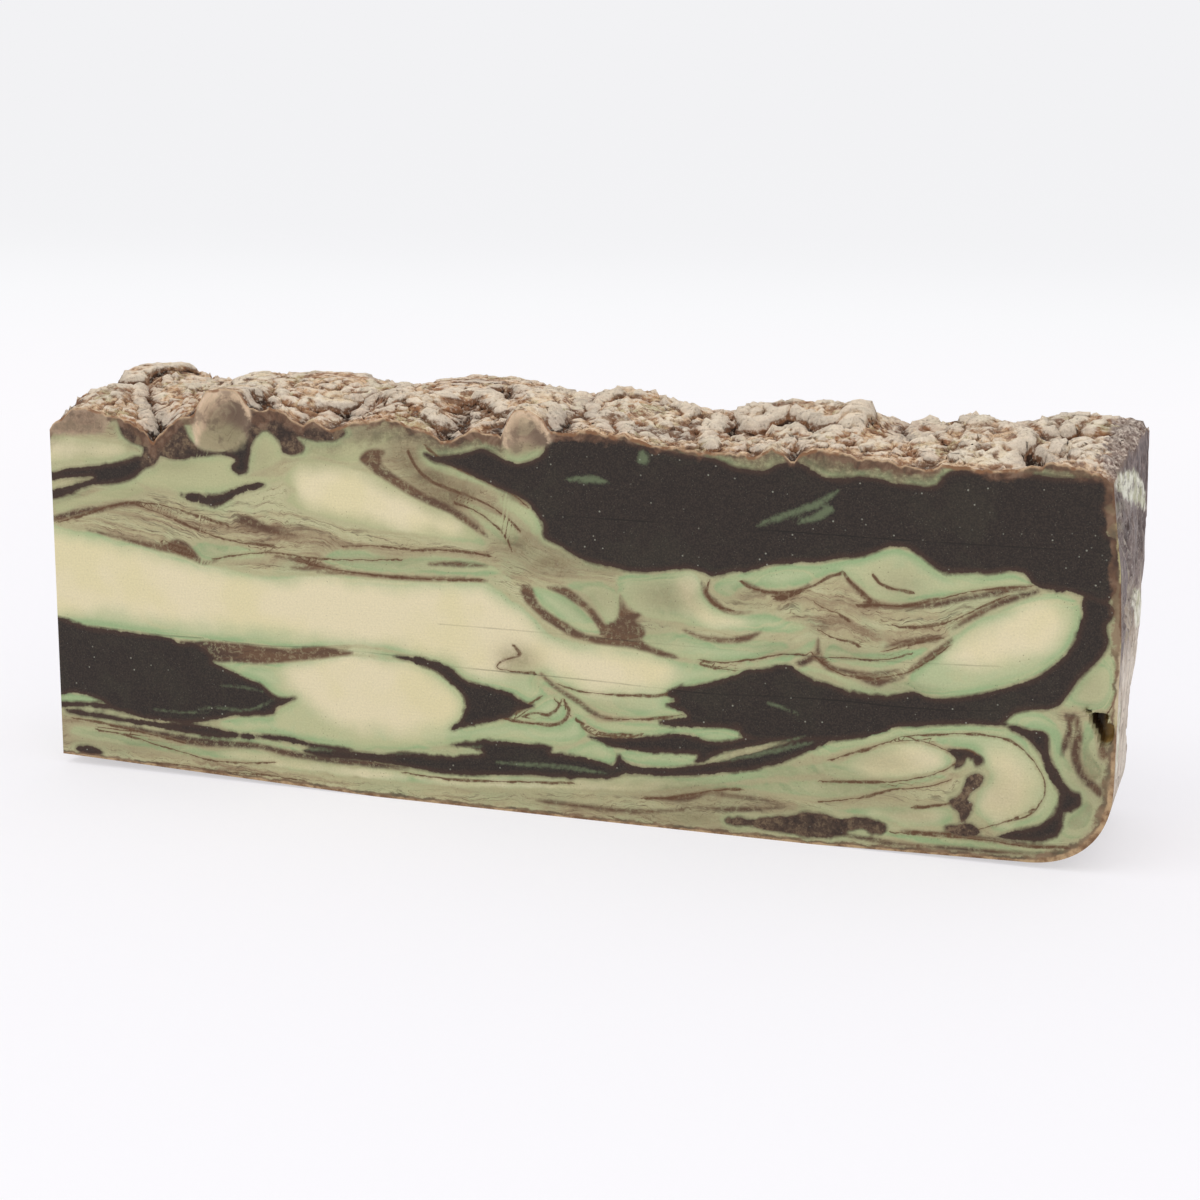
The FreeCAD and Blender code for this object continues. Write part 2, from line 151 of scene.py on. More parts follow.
# Red-brown soap: tails, arcs and smudges.
BROWN: Layer = {
    "block tail": ((34, 33.2), (38, 33.8), (42, 34.3), (50, 34.3), (57, 34), (63, 34.1), (68, 34.9),
        (72, 35.3), (76, 35), (79.5, 34.4), (76.5, 33.6), (72, 32.7), (67, 31.8), (61, 30.7), (55, 29.8),
        (48, 29.8), (43, 29.6)),
    "olive band": ((14, 11.3), (22, 10.9), (30, 10.3), (38, 9.9), (46, 9.9), (54, 10.1), (60, 9.4),
        (66, 8.8), (73, 8.4), (82, 8.6), (92, 8), (92, 7.3), (82, 7.3), (73, 7.2), (66, 7.6), (60, 8),
        (54, 8.9), (46, 8.5), (40, 8), (33, 8.6), (25, 9.6), (16, 10.5)),
    "arc": ((122, 53.4), (124, 53.6), (125, 51.4), (126.2, 49.4), (128.8, 47.6), (132, 46), (136, 44),
        (141, 43.2), (144, 44.6), (145.2, 43.2), (149.6, 43), (150.2, 44.6), (151, 42.6), (155, 41.2),
        (159, 40), (155, 40), (150, 41.2), (144, 41.5), (138, 41.9), (132, 43.6), (127.6, 46),
        (124.2, 48.6), (122.2, 51)),
    "arc two": ((128, 53.6), (131.6, 54), (135, 52.4), (138.2, 50), (140.6, 47.4), (142.6, 45.2),
        (144.4, 43.6), (141.4, 43.6), (139.8, 46), (137.4, 48.8), (134, 51.2), (130.6, 52.7)),
    "veil line left": ((-2, 61.2), (4, 63), (9, 64.6), (14, 65.2), (19, 66.4), (24.6, 67.1), (24.4, 66.5),
        (19, 65.5), (14, 64), (9, 63.2), (4, 61.7), (-2, 60.2)),
    "veil line low": ((10, 59.5), (18, 58.3), (26, 57.3), (31, 57.2), (34, 58.6), (37.4, 57.6),
        (39.4, 55.4), (41.2, 53.6), (45, 54.2), (41, 53.1), (38.4, 53.9), (34, 55), (28, 55.8), (20, 57.4),
        (12, 58.9)),
    "veil smudge": ((49.6, 64.4), (53, 65.2), (56.6, 64.2), (60.6, 62.6), (66, 61.6), (60, 61.4),
        (55.4, 62.6), (51.4, 63.2)),
    "veil smudge two": ((60, 56.2), (66, 56.4), (71, 55.3), (77, 54.2), (71, 54.6), (65, 55.4)),
    "veil smudge three": ((64, 53.6), (70, 54.6), (76, 54.4), (70, 53.6)),
    "veil line mid": ((71, 53.2), (80, 53.8), (90, 53.6), (100, 54), (108, 54.4), (113.4, 54), (106, 53.6),
        (96, 53.1), (88, 53), (80, 53.1)),
    "veil line high": ((99, 57), (104, 57.9), (109, 58), (113.6, 57.5), (109, 57.2), (104, 56.9)),
    "green lines": ((160, 46.4), (165, 45.3), (170, 45.2), (175.4, 46.6), (178, 47.4), (174.6, 45),
        (169, 44.2), (164, 44.6)),
    "right veil arc": ((164.2, 57.6), (166, 55), (168.6, 52.8), (171.6, 51.4), (175.8, 51.6), (171.4, 50.8),
        (167.6, 52), (164.9, 54.4)),
    "right veil arc two": ((173.6, 58.2), (176.4, 57.2), (180, 56.2), (184.4, 56.6), (188.6, 58.6),
        (184.6, 55.6), (181.4, 54.6), (180.4, 56), (176, 56.4)),
    "blob under line": ((196.6, 60.4), (199.2, 58.8), (201.6, 56.6), (205.4, 55.6), (211, 56), (216, 57),
        (221, 58.2), (224.6, 59.4), (220.8, 57.1), (215.6, 55.6), (209, 54.8), (203, 54.6), (199.6, 54.4),
        (201, 55.8), (198.8, 58)),
    "leaf upper line": ((237.4, 60.8), (232, 59.3), (227.6, 56.9), (223, 54.2), (219.8, 51.2),
        (222.4, 52.6), (226.8, 55.4), (231.4, 57.7), (236, 59.8)),
    "leaf upper line two": ((236, 61.6), (230, 60.8), (225, 59.2), (220, 57.6), (225, 58.2), (230.4, 59.8)),
    "leaf left line": ((219.8, 49), (217.2, 47.2), (214.4, 45), (211.6, 42.4), (209.2, 40), (212, 41.8),
        (215, 44.2), (217.8, 46.2)),
    "fan line one": ((190.6, 46.8), (191.2, 43.8), (193.4, 41.4), (198, 40.4), (204, 40.3), (209, 41.6),
        (204, 39.6), (198.4, 39.4), (193, 40), (190.2, 43)),
    "fan line two": ((200.4, 38.2), (204, 37.4), (206.6, 38.4), (209.6, 39.6), (206, 39.2), (202, 38.9)),
    "fan line three": ((205, 46), (209, 47), (213, 47.8), (217.4, 49.4), (213, 48.9), (208, 47.4)),
    "cream edge": ((82.4, 80.6), (85, 82.6), (88.6, 82.4), (87.4, 80.4), (90.4, 77.6), (95, 75),
        (100, 72.6), (106, 70.2), (110.4, 67.2), (113.6, 64.4), (109.2, 66.6), (104.4, 69.2), (98.2, 71.4),
        (92, 74.2), (86.6, 77.2), (83.6, 79.2)),
    "under tongue": ((126.3, 33.6), (129.4, 31.4), (132.1, 29.8), (135.9, 27.9), (138.8, 25.9),
        (142.4, 24.8), (146.5, 24.6), (142.2, 24.1), (138.6, 25.1), (135.6, 27.1), (131.9, 29.1),
        (128.8, 30.9)),
    "triangle": ((145.5, 52.9), (146.9, 49.8), (150.2, 49.1), (148.8, 47.6), (150.9, 46), (150.5, 43.9),
        (146.9, 42.9), (143.1, 43.1), (140.8, 43.8), (142.3, 46.2), (144.5, 47.3), (145.2, 49.7)),
    "stripe one": ((245.7, 34.7), (246.6, 32.2), (246.3, 29.3), (245.9, 27.1), (246.2, 24.5), (247.2, 22.1),
        (248.9, 20.1), (250.3, 18.9), (251.8, 17.6), (252.5, 17.5), (252.4, 18.9), (251.1, 20.3),
        (249.5, 21.6), (248.3, 23.4), (247.7, 25.4), (247.6, 27.6), (247.8, 30.1), (247.6, 32.3),
        (246.6, 34.6)),
    "stripe two": ((244.2, 34.5), (244.8, 32.4), (244.4, 29.8), (243.7, 28), (243.8, 25.2), (244.9, 27.3),
        (245.5, 29.6), (245.8, 32.2), (245.3, 34.3)),
    "stripe three": ((251.6, 28.4), (252.6, 28.4), (253.1, 26.7), (252.6, 25.6), (251.7, 26.2)),
    "fan blot": ((185.6, 41), (188, 42.2), (190.2, 43.6), (189.6, 41.8), (187.4, 40.5)),
    "lower smudge": ((151.6, 6.6), (156, 7.2), (161, 8.4), (166, 9.6), (170.6, 10.8), (166, 9.2),
        (163, 7.4), (158.4, 6.7)),
    "lower smudge two": ((166, 9.2), (172, 9.6), (178, 9.4), (184, 8.4), (178, 8.8), (172, 8.9)),
    "lower smudge three": ((160, 5.6), (168, 6.2), (176, 6.9), (184, 8), (176, 6.2), (168, 5.5)),
    "foot line": ((126, 3.7), (134, 3.5), (142, 3.3), (152, 3.8), (162, 5.2), (152, 3.2), (142, 2.6),
        (134, 2.8), (126, 3)),
    "right foot line": ((196, 3.2), (204, 2.9), (212, 2.5), (222, 2.9), (232, 3.2), (244, 3.8), (232, 2.6),
        (222, 2.2), (212, 1.8), (204, 2.2)),
    "right foot line two": ((210, 5.2), (218, 5.8), (226, 5.9), (236, 5.6), (246, 5.4), (236, 5),
        (224, 5.2), (216, 5.2)),
}

# Pale soap: green at the rim, with cream cores.
PALE: Layer = {
    "left wedge": ((-4, 18.4), (4, 18), (10, 17.6), (13.4, 16.6), (8, 16.2), (-4, 15.6)),
    "teardrop": ((42.6, 29.2), (47, 29.7), (54, 29.7), (60, 30.3), (66, 31.3), (72, 32.5), (78, 33.6),
        (84, 33.9), (90, 33.7), (95, 33.3), (99, 32.2), (102.6, 30.4), (105.4, 28.4), (107.2, 26),
        (107.6, 23.8), (107, 21.6), (105.8, 19.8), (108.4, 19.6), (112, 20.4), (117, 21.4), (123, 21.5),
        (128, 21.4), (131.6, 22.2), (134, 24), (135.6, 24.2), (136.6, 22.2), (137.2, 20.2), (135.2, 18.2),
        (131, 16.9), (126, 16.6), (118, 16.6), (111, 16), (105, 14.9), (99, 13.4), (92, 12.4), (85, 11.7),
        (77, 11.2), (71, 11.4), (64, 12.4), (56, 12.7), (50, 12.4), (45, 13), (43.6, 14.4), (47, 15.6),
        (52, 16.6), (57, 17), (59.6, 18.6), (61.6, 20.4), (65, 22.4), (60.4, 22), (58.2, 23.2), (55, 25),
        (50, 26.6), (46, 28.2)),
    "cream band": ((-4, 58.4), (6, 58.8), (12, 58.6), (18, 57.4), (24, 56.5), (30, 55.6), (36, 54.2),
        (41, 53), (47, 52.4), (53, 51.4), (60, 51.2), (67, 52), (76, 52.6), (86, 52.6), (96, 52.7),
        (105, 53.4), (112, 53.8), (116, 52.4), (119, 50.2), (122, 48.6), (124.6, 46.6), (128, 43.4),
        (133, 41.6), (139, 41.4), (146, 41.2), (152, 40.4), (158, 39.2), (164, 38.9), (170, 38.5),
        (174.6, 38.4), (171, 36.4), (166.6, 34.8), (161, 33.2), (157, 31.4), (158.4, 30.2), (156.6, 29),
        (159.4, 27.6), (160.6, 26.5), (155, 25.8), (149, 25.5), (144, 25.6), (140, 26.6), (136, 28.3),
        (132, 30.4), (128.8, 32.4), (126.4, 34), (125, 31.6), (127.6, 29), (126.4, 27.2), (123, 26.4),
        (120.6, 27.8), (116, 28.9), (111, 29.8), (108, 30.6), (106, 31.8), (103, 33.4), (98, 34.8),
        (93, 35.2), (88, 36.2), (82, 36.6), (76, 35.8), (70, 35.2), (64, 34.4), (54, 34.4), (44, 34.5),
        (34, 34.2), (24, 35), (12, 35.8), (-4, 36.8)),
    "eye of line": ((77, 35.2), (82, 36), (88, 35.6), (91.4, 34.7), (86, 34.3), (80, 34.4)),
    "curl": ((112, 22.6), (118, 22.8), (123, 24.4), (126.6, 27.6), (129.4, 28.8), (131.6, 27.6),
        (132.6, 25.2), (131.4, 23.2), (127, 22.2), (120, 22.2)),
    "curl ridge": ((125.6, 31.4), (129.6, 29.8), (133, 26.8), (134.4, 24.6), (136, 24.4), (139, 25.6),
        (134.8, 27.8), (131, 29.8), (127.4, 32.2)),
    "fish": ((124.6, 53.2), (128, 53.4), (131, 52.5), (134, 50.8), (137, 48.6), (139.4, 46.2),
        (140.6, 44.2), (137.6, 43.8), (133.6, 45), (130, 46.8), (127.2, 48.8), (125.6, 51)),
    "fish two": ((133, 54.6), (137, 55.6), (141.4, 55.4), (144.8, 53.6), (145.4, 50), (144.4, 46.6),
        (142.6, 46.2), (141, 48.4), (138.8, 51), (136, 53.2)),
    "under top field": ((146, 57.8), (152, 58.2), (158, 59), (162.4, 59.6), (164.2, 57.4), (164.8, 54.6),
        (167.4, 52.2), (171, 50.8), (175, 51), (180, 51.4), (184, 50.2), (188, 49.2), (184, 47.6),
        (178, 47.4), (172, 47), (166, 47.2), (160, 47.8), (154, 48.4), (149, 49.6), (146, 52.4),
        (144.8, 55.6)),
    "under arc": ((150.4, 43.8), (155, 45), (160, 45.6), (164, 44.6), (170, 44), (175, 44.8), (180, 45.4),
        (184, 44.6), (180.6, 42.8), (176, 41), (170, 39.8), (164, 39.6), (158, 40.4), (153, 41.8)),
    "thin under arc": ((174, 39.6), (179, 40.8), (184, 43), (188, 45.4), (190, 46.4), (189.4, 44.2),
        (186, 42.2), (183.6, 41), (179, 40)),
    "ear": ((167.2, 56.2), (169, 58.4), (173, 59.8), (177, 60.8), (181, 62.2), (186, 62.8), (191, 63.2),
        (196, 64.4), (193, 61.8), (188.4, 59.2), (183.6, 57.4), (179, 57.2), (175.4, 57.8), (172.6, 56.4),
        (170, 54.6)),
    "green blob": ((191, 62.4), (196, 64.6), (200.6, 65.6), (204, 67.3), (207.4, 67.8), (210.2, 67.2),
        (213, 65.6), (216.2, 63.9), (219.4, 62.8), (223, 63.3), (227.4, 63.2), (231.4, 64.1), (234.2, 63.2),
        (236.2, 61.8), (231, 61.4), (225, 60.2), (219.6, 58.6), (214, 57.3), (209, 56.5), (205, 56.4),
        (201.8, 57.4), (199.4, 59.4), (196.6, 61)),
    "leaf": ((210.6, 38.6), (213, 36.7), (217, 36.1), (222, 36.8), (227, 38.2), (232, 40), (237, 42.3),
        (241, 45.2), (244, 48.7), (245.9, 52.2), (246.6, 55.6), (246, 58.6), (244, 60.1), (240.6, 60.4),
        (237, 59.4), (232, 57.2), (227, 54.6), (222.6, 51.6), (219, 48.4), (215, 44.4), (212, 41.6)),
    "fan": ((186.6, 39.2), (191, 39.4), (195, 37.8), (200, 35.7), (205, 35.3), (210, 36.4), (210.2, 38.6),
        (206.4, 37.9), (203.6, 36.9), (199.6, 37.7), (195.4, 39.4), (191.4, 40), (188.6, 40.6)),
    "fan two": ((192.2, 42.4), (196, 41.6), (203, 41.6), (209.6, 43.2), (214.4, 46.4), (210, 45.6),
        (204, 44.4), (198, 44.2), (193.4, 45.8)),
    "tongue one": ((137, 24.6), (141, 23.4), (146, 23.8), (152, 24.3), (158, 23.9), (164, 24.2),
        (170, 24.8), (173.4, 23.7), (172.6, 22.2), (169, 21.3), (166, 21.4), (162.6, 22.9), (157, 22.3),
        (151, 21.4), (146, 21), (141, 21.4), (138, 22.6)),
    "tongue two": ((144.6, 16.4), (147.4, 17.4), (153, 17.5), (159, 17.9), (163.2, 17.9), (162.8, 16),
        (159.6, 14.9), (154, 14.3), (148.6, 14.6), (145.6, 15.4)),
    "bits": ((137.6, 18.6), (140, 19.2), (143.4, 17.8), (144.4, 15.2), (142.8, 13.9), (138.4, 14.8),
        (133, 15.2), (134.6, 16.8)),
    "lower strip": ((92, 7), (102, 7.2), (112, 7.8), (122, 8.8), (132, 9.2), (142, 9.9), (148, 11.4),
        (156, 12.1), (164, 12.8), (172, 14.4), (180, 16.4), (188, 18), (196, 19.6), (192, 16.8),
        (184, 15.2), (176, 13.6), (168, 11.6), (160, 10.2), (152, 8.4), (142, 7.6), (130, 6.8), (118, 5.6),
        (104, 4.6), (92, 4.8)),
    "right strip": ((166, 10.6), (176, 11.2), (186, 11), (196, 11.4), (202, 13), (208, 15), (214, 16.6),
        (219.4, 18.4), (216, 18.6), (209, 16.8), (202, 15.6), (196, 15.2), (188, 14.2), (178, 12.6)),
    "tongue": ((192, 17.2), (197, 19.6), (200.4, 22.2), (205, 24), (210, 25.2), (214.6, 25.3),
        (218.4, 24.4), (220.4, 22.4), (219.4, 20.6), (215, 18.8), (209, 17.4), (202, 16.4), (196, 15.8)),
    "green ring": ((186, 21.8), (192, 23), (198, 24.8), (204, 27), (209, 28.6), (215, 29.4), (221, 30.3),
        (227, 30.6), (232, 30.2), (236, 28.2), (238.6, 25.6), (240.2, 22.8), (241.8, 20), (243.2, 17.4),
        (243.4, 15), (242.4, 12.6), (240.6, 10.9), (236.6, 9.5), (231.4, 7.6), (228.4, 9.4), (226, 11.8),
        (226.6, 15.6), (228.8, 18.8), (227.8, 22.6), (225, 25), (219, 25.6), (213, 25.9), (206, 24.9),
        (199, 22.9), (192, 20.6)),
    "cap": ((230.6, 31.4), (232.4, 33.2), (235, 34.6), (238, 34.8), (241, 33.6), (243, 31.6), (243.8, 28.8),
        (244.4, 25.8), (246.4, 22.8), (249.4, 19.8), (252, 17), (251.6, 12.8), (249.8, 9.4), (247, 7.6),
        (244.6, 8.4), (245, 11.4), (247.4, 13.6), (248.6, 15.6), (248.2, 17.8), (245.6, 19.4),
        (243.2, 22.4), (241.9, 25.6), (241.3, 28.6), (240.4, 30.6), (236, 31)),
    "right foot": ((196, 8.4), (204, 9.8), (212, 11), (219, 11.6), (221.4, 9.4), (218, 7.4), (212, 6.6),
        (207.4, 7.2), (202, 8)),
    "right sole": ((206, 4.6), (214, 4.6), (224, 4.8), (236, 4.6), (246, 4.4), (240, 3.2), (226, 3.2),
        (212, 3)),
    "right column": ((243.6, 36.8), (245.6, 39.9), (247.9, 42.9), (250.2, 45.6), (252.4, 48), (254.2, 46),
        (254.7, 42.6), (254.5, 39.8), (253.2, 37.2), (251.8, 36.3), (249.3, 36), (246.5, 36.4)),
    "column low": ((248.4, 33.2), (249.4, 32.4), (250.6, 29.6), (251.6, 25.2), (253.4, 24.4), (254.4, 21.4),
        (253.7, 17.8), (252.8, 19.4), (251.2, 20.8), (249.8, 22.2), (248.6, 24.2), (248.1, 27.4),
        (248.2, 30.4)),
    "left tongue": ((-4, 81.6), (4, 81.8), (10, 81.4), (16, 81), (20.6, 80.4), (22, 79.2), (20.8, 77.9),
        (16, 76.8), (9, 76.2), (2, 75.6), (-4, 75)),
    "left band": ((24, 72.8), (28.4, 74.6), (31.6, 77.2), (36, 77.6), (41, 78.6), (46, 79), (49.2, 78.2),
        (49, 76), (51.6, 74.6), (56, 74.8), (60, 75.2), (62, 74.6), (58.6, 73.6), (53, 73), (49, 71.2),
        (44, 70.2), (38, 70), (31, 70.6), (26, 70.9)),
    "drop": ((54.3, 77.6), (54.8, 80.4), (56, 83), (57.4, 84.9), (59.2, 84.9), (60.8, 83.4), (62.3, 81.4),
        (62.2, 79.6), (60.6, 78), (58.2, 76.8), (55.8, 76.4)),
    "upper cream": ((64.4, 76.6), (67, 78.8), (70.6, 79.6), (75, 79.2), (80, 78.2), (84.6, 77.2), (88, 76),
        (92, 74), (96, 72.1), (100.4, 70.6), (105, 69.2), (108.4, 67.2), (111, 65), (113, 62.6),
        (107, 62.8), (99, 63.4), (91, 64), (83, 65), (76, 66), (69, 67.4), (63.6, 69.6), (66, 72),
        (63.4, 74.2)),
    "upper green": ((64.4, 79.8), (68.4, 82), (73, 83.6), (79, 84.2), (84, 85.2), (89, 86.8), (92.6, 87),
        (90.4, 85.2), (86, 83.2), (82.6, 81.2), (82.2, 79.4), (78, 79.4), (73, 80.4), (68.6, 80.2)),
    "drape green": ((99, 81.2), (104, 80.2), (109, 78.6), (114.6, 76.6), (120, 75.9), (115, 76),
        (109, 76.8), (103.6, 78.2), (99.4, 79.6)),
    "drape patch": ((117.2, 73.6), (120, 73.2), (123, 71.6), (125.6, 69.2), (126.2, 66.6), (125, 65.4),
        (123.4, 67.6), (120.6, 69.8), (117.6, 71.2)),
    "drape low": ((108, 72.6), (112, 70.8), (116.4, 69.4), (119.6, 67.4), (121.2, 64.6), (119, 62.6),
        (116.4, 64.2), (112.8, 66.8), (109.6, 69.6)),
    "crest strip": ((103.6, 84), (106.4, 85.6), (110, 86.6), (114, 86.4), (118, 85.4), (122, 84.8),
        (127.4, 84.4), (125.6, 82.9), (121.6, 81.6), (118.2, 82.2), (115.4, 83.6), (112, 84.3), (108.4, 83),
        (105.4, 82.6)),
    "crest strip right": ((185, 85), (188.4, 86.4), (194, 86.6), (200, 86), (206, 84.8), (212, 83.9),
        (216, 83.6), (215.4, 81.7), (208, 81.8), (201.4, 83), (196.6, 82.3), (192, 82.5), (188.2, 83.8)),
    "crest streak": ((167, 84.6), (171, 83.6), (177.4, 83.6), (180, 84.6), (177, 85), (171, 84.8)),
    "veil pale low": ((38, 57), (41.6, 58.1), (47, 58), (53, 57.6), (58, 56.2), (52, 55), (46, 54.4),
        (42, 54), (39.6, 55.2)),
    "veil pale mid": ((76, 58.4), (83, 59.2), (90, 57.4), (98, 58.6), (106, 58.9), (113, 58), (117, 56.4),
        (111, 55.2), (101, 54.9), (90, 54.5), (80, 54.6), (73, 56)),
    "left pale band": ((0, 64.6), (6, 66.4), (12, 68.4), (19, 70.4), (24, 71.6), (26, 69.8), (22, 68.2),
        (15, 66.4), (8, 64.8), (2, 63.2)),
    "sole strip left": ((4, 9.6), (12, 9.9), (20, 9), (30, 8), (40, 7.2), (48, 7.8), (54, 8.2), (60, 7.2),
        (68, 6.8), (80, 6.6), (92, 6.8), (92, 4.6), (78, 4.4), (64, 4.6), (50, 5.6), (36, 5.4), (22, 6.2),
        (10, 6.6), (3, 7.8)),
    "between bands": ((36, 10.6), (46, 10.8), (56, 11), (64, 10.4), (68, 9.4), (60, 9.6), (50, 10.2),
        (40, 10)),
}

# Cream cores.
CREAM: Layer = {
    "teardrop": ((63, 29.6), (70, 31.6), (78, 33.2), (86, 33.6), (94, 33), (100, 31), (104.4, 28.4),
        (106.6, 25.5), (106.4, 22.6), (104, 20), (97, 18.2), (88, 17.2), (79, 17), (72, 18.4), (67, 21.2),
        (63.4, 25)),
    "band": ((-4, 56.6), (6, 57.2), (14, 56.4), (24, 54.2), (34, 52.4), (44, 51), (56, 49.8), (68, 50.4),
        (82, 51), (96, 51.4), (108, 52), (115, 50.4), (120, 47.2), (124, 43.4), (130, 40.8), (140, 40.2),
        (150, 39.4), (158, 37.8), (154, 33.8), (144, 31.4), (136, 32), (130, 34.6), (124, 34.6),
        (117, 31.8), (110, 33.2), (104, 36), (94, 37.4), (82, 37.6), (70, 37.2), (56, 37.8), (40, 38.8),
        (22, 39.4), (8, 39.6), (-4, 39.8)),
    "leaf": ((219, 44.6), (224, 43.6), (230, 44.6), (236, 47.8), (240.6, 51.6), (242.2, 55), (240, 57.8),
        (235.6, 57.2), (230, 54), (225, 50.4), (221.2, 47.6)),
    "upper cream": ((68, 75.2), (73, 77.4), (79, 76.8), (85, 75.4), (90, 73.2), (96, 70.4), (102, 68.4),
        (106, 66.4), (104, 64.8), (96, 65.2), (87, 66.4), (78, 67.8), (70, 69.6), (67.4, 72.2)),
    "swirl core": ((229, 23), (233, 25.6), (236.4, 22.8), (238.2, 18.6), (238, 14.4), (235.4, 11.8),
        (230.6, 10.8), (227.6, 12), (227.8, 15.4), (230, 19)),
    "tongue": ((202, 19.4), (207, 22.6), (213, 23.8), (217.6, 22.8), (217.2, 20.8), (211, 18.8),
        (204, 17.8)),
    "under top field": ((159, 57.4), (162.6, 57.2), (163.4, 53.8), (166.6, 50.6), (174, 49.4), (172, 48.2),
        (165, 48.6), (160.6, 50.6), (158.8, 54)),
    "lower strip": ((96, 5.8), (108, 6.4), (120, 7), (132, 8.2), (144, 8.8), (154, 10), (150, 8.2),
        (138, 6.8), (124, 5.8), (108, 5)),
    "sole strip left": ((46, 6.6), (56, 6.8), (68, 5.8), (82, 5.6), (92, 5.6), (80, 5), (64, 5), (52, 5.6)),
    "left tongue": ((-4, 79.8), (6, 80), (14, 79.6), (19, 79), (12, 78), (4, 77.4), (-4, 77)),
    "right foot": ((204, 8.8), (212, 9.8), (217, 9.6), (213, 7.8), (207, 7.8)),
}

# Pale wisps that lie over dark soap.
WISP: Layer = {
    "field one": ((176.4, 70.8), (181, 73.4), (186, 75.4), (190, 77.2), (194.4, 79.6), (190.4, 75.8),
        (186, 74), (181, 72)),
    "field two": ((185, 72.2), (189, 74), (192, 76.2), (193.4, 75), (190.4, 73), (187, 72)),
    "field three": ((132.4, 78.4), (136, 79.4), (140, 79.5), (142.6, 78.2), (138, 78)),
    "field four": ((149.4, 83.4), (150.2, 86), (151.8, 84.6), (151.4, 82.8)),
    "block one": ((38, 17.5), (44, 18.2), (50, 18.2), (54, 19.2), (58.6, 21.5), (54.6, 18.9), (50, 17.8),
        (44, 17.8)),
    "block two": ((26, 16), (34, 15.8), (41, 16.7), (34, 16.1)),
    "block three": ((44, 23.6), (50, 23.9), (56, 23), (50, 23.5)),
    "lower one": ((115, 11.4), (122, 12), (130, 12.3), (137, 12.2), (142, 11.3), (136, 11.4), (128, 11.5),
        (121, 11.2)),
    "lower two": ((66, 9.9), (69.6, 10.6), (74, 10.3), (70, 9.8)),
    "lower three": ((90, 10.9), (98, 12.2), (106, 13.4), (112, 14.9), (108, 14.4), (101, 13.4), (94, 11.8)),
    "drag one": ((170, 19.2), (176, 20.8), (182, 22.6), (188, 24.6), (182, 22), (176, 20.2)),
    "drag two": ((166, 17), (172, 18.2), (178, 20), (184, 22), (190, 23.4), (184, 21), (177, 18.8),
        (171, 17.4)),
    "drag three": ((179, 31.4), (183, 30.4), (187, 29.2), (183, 31)),
    "ring one": ((186.4, 19.4), (192, 21.2), (199, 23.6), (192, 20.6)),
}

# Rolled crust cut through: banded tan and grey.
ROLLED: Layer = {
    "left crust": ((-4, 81.4), (2, 81.9), (8, 82.2), (14, 82.4), (16.6, 84.4), (17.6, 87.6), (17, 91),
        (8, 92), (-4, 90)),
    "lobe one": ((40, 83.2), (39.6, 88), (42, 93.4), (47.7, 97), (53, 95), (55.6, 90), (55.4, 87),
        (53.8, 83.6), (51.6, 81.4), (48.4, 80.2), (44.4, 80.2), (41.4, 81.2)),
    "lobe two": ((117.4, 84.8), (117.4, 90), (120.4, 95), (126, 95), (130, 91), (129, 87.2), (126, 85),
        (121.8, 83.8)),
}

# Soft brown ovals in the veil: place, height, reach along and up, and amount.
VEIL_BROWN = (
    (30, 63, 30, 5, 0.45), (57, 62, 12, 3.4, 0.8), (74, 60, 12, 3, 0.7), (88, 61, 16, 3, 0.35),
    (104, 74, 12, 6, 0.95), (95, 80, 6, 4.5, 0.95), (100, 77, 8, 4, 1.1), (106, 73, 7, 4, 1.15),
    (113, 69, 6, 4, 0.8), (121, 63.5, 7, 4.5, 0.85), (121, 74.4, 4, 3, 1.2), (129, 59.4, 9, 3.6, 0.85),
    (141, 59.4, 8, 2.6, 0.8), (92, 61, 12, 2.2, 0.6), (112, 58, 8, 3, 0.5), (10, 69, 14, 5, 0.6),
    (175, 55, 12, 3, 0.3), (182, 55, 6, 2, 0.5), (196, 50, 12, 6, 0.42), (212, 47, 10, 3, 0.5),
    (146, 49, 5, 6, 0.5), (133, 57, 8, 3, 0.4), (120, 36.5, 4, 3, 0.6), (182, 8, 18, 2.5, 0.5),
    (215, 3, 30, 1.5, 0.4), (46, 3, 14, 2, 0.6), (140, 2.4, 30, 1.2, 0.5), (222, 12, 6, 8, 0.3),
    (247, 26, 4, 14, 0.3), (8, 12, 16, 2, 0.4), (26, 7, 22, 3, 0.5), (163, 9, 20, 3, 0.5),
    (250, 20, 3, 8, 0.5), (222, 18, 4, 5, 0.4), (46, 86, 7, 6, 0.4), (8, 85, 10, 4, 0.7),
)

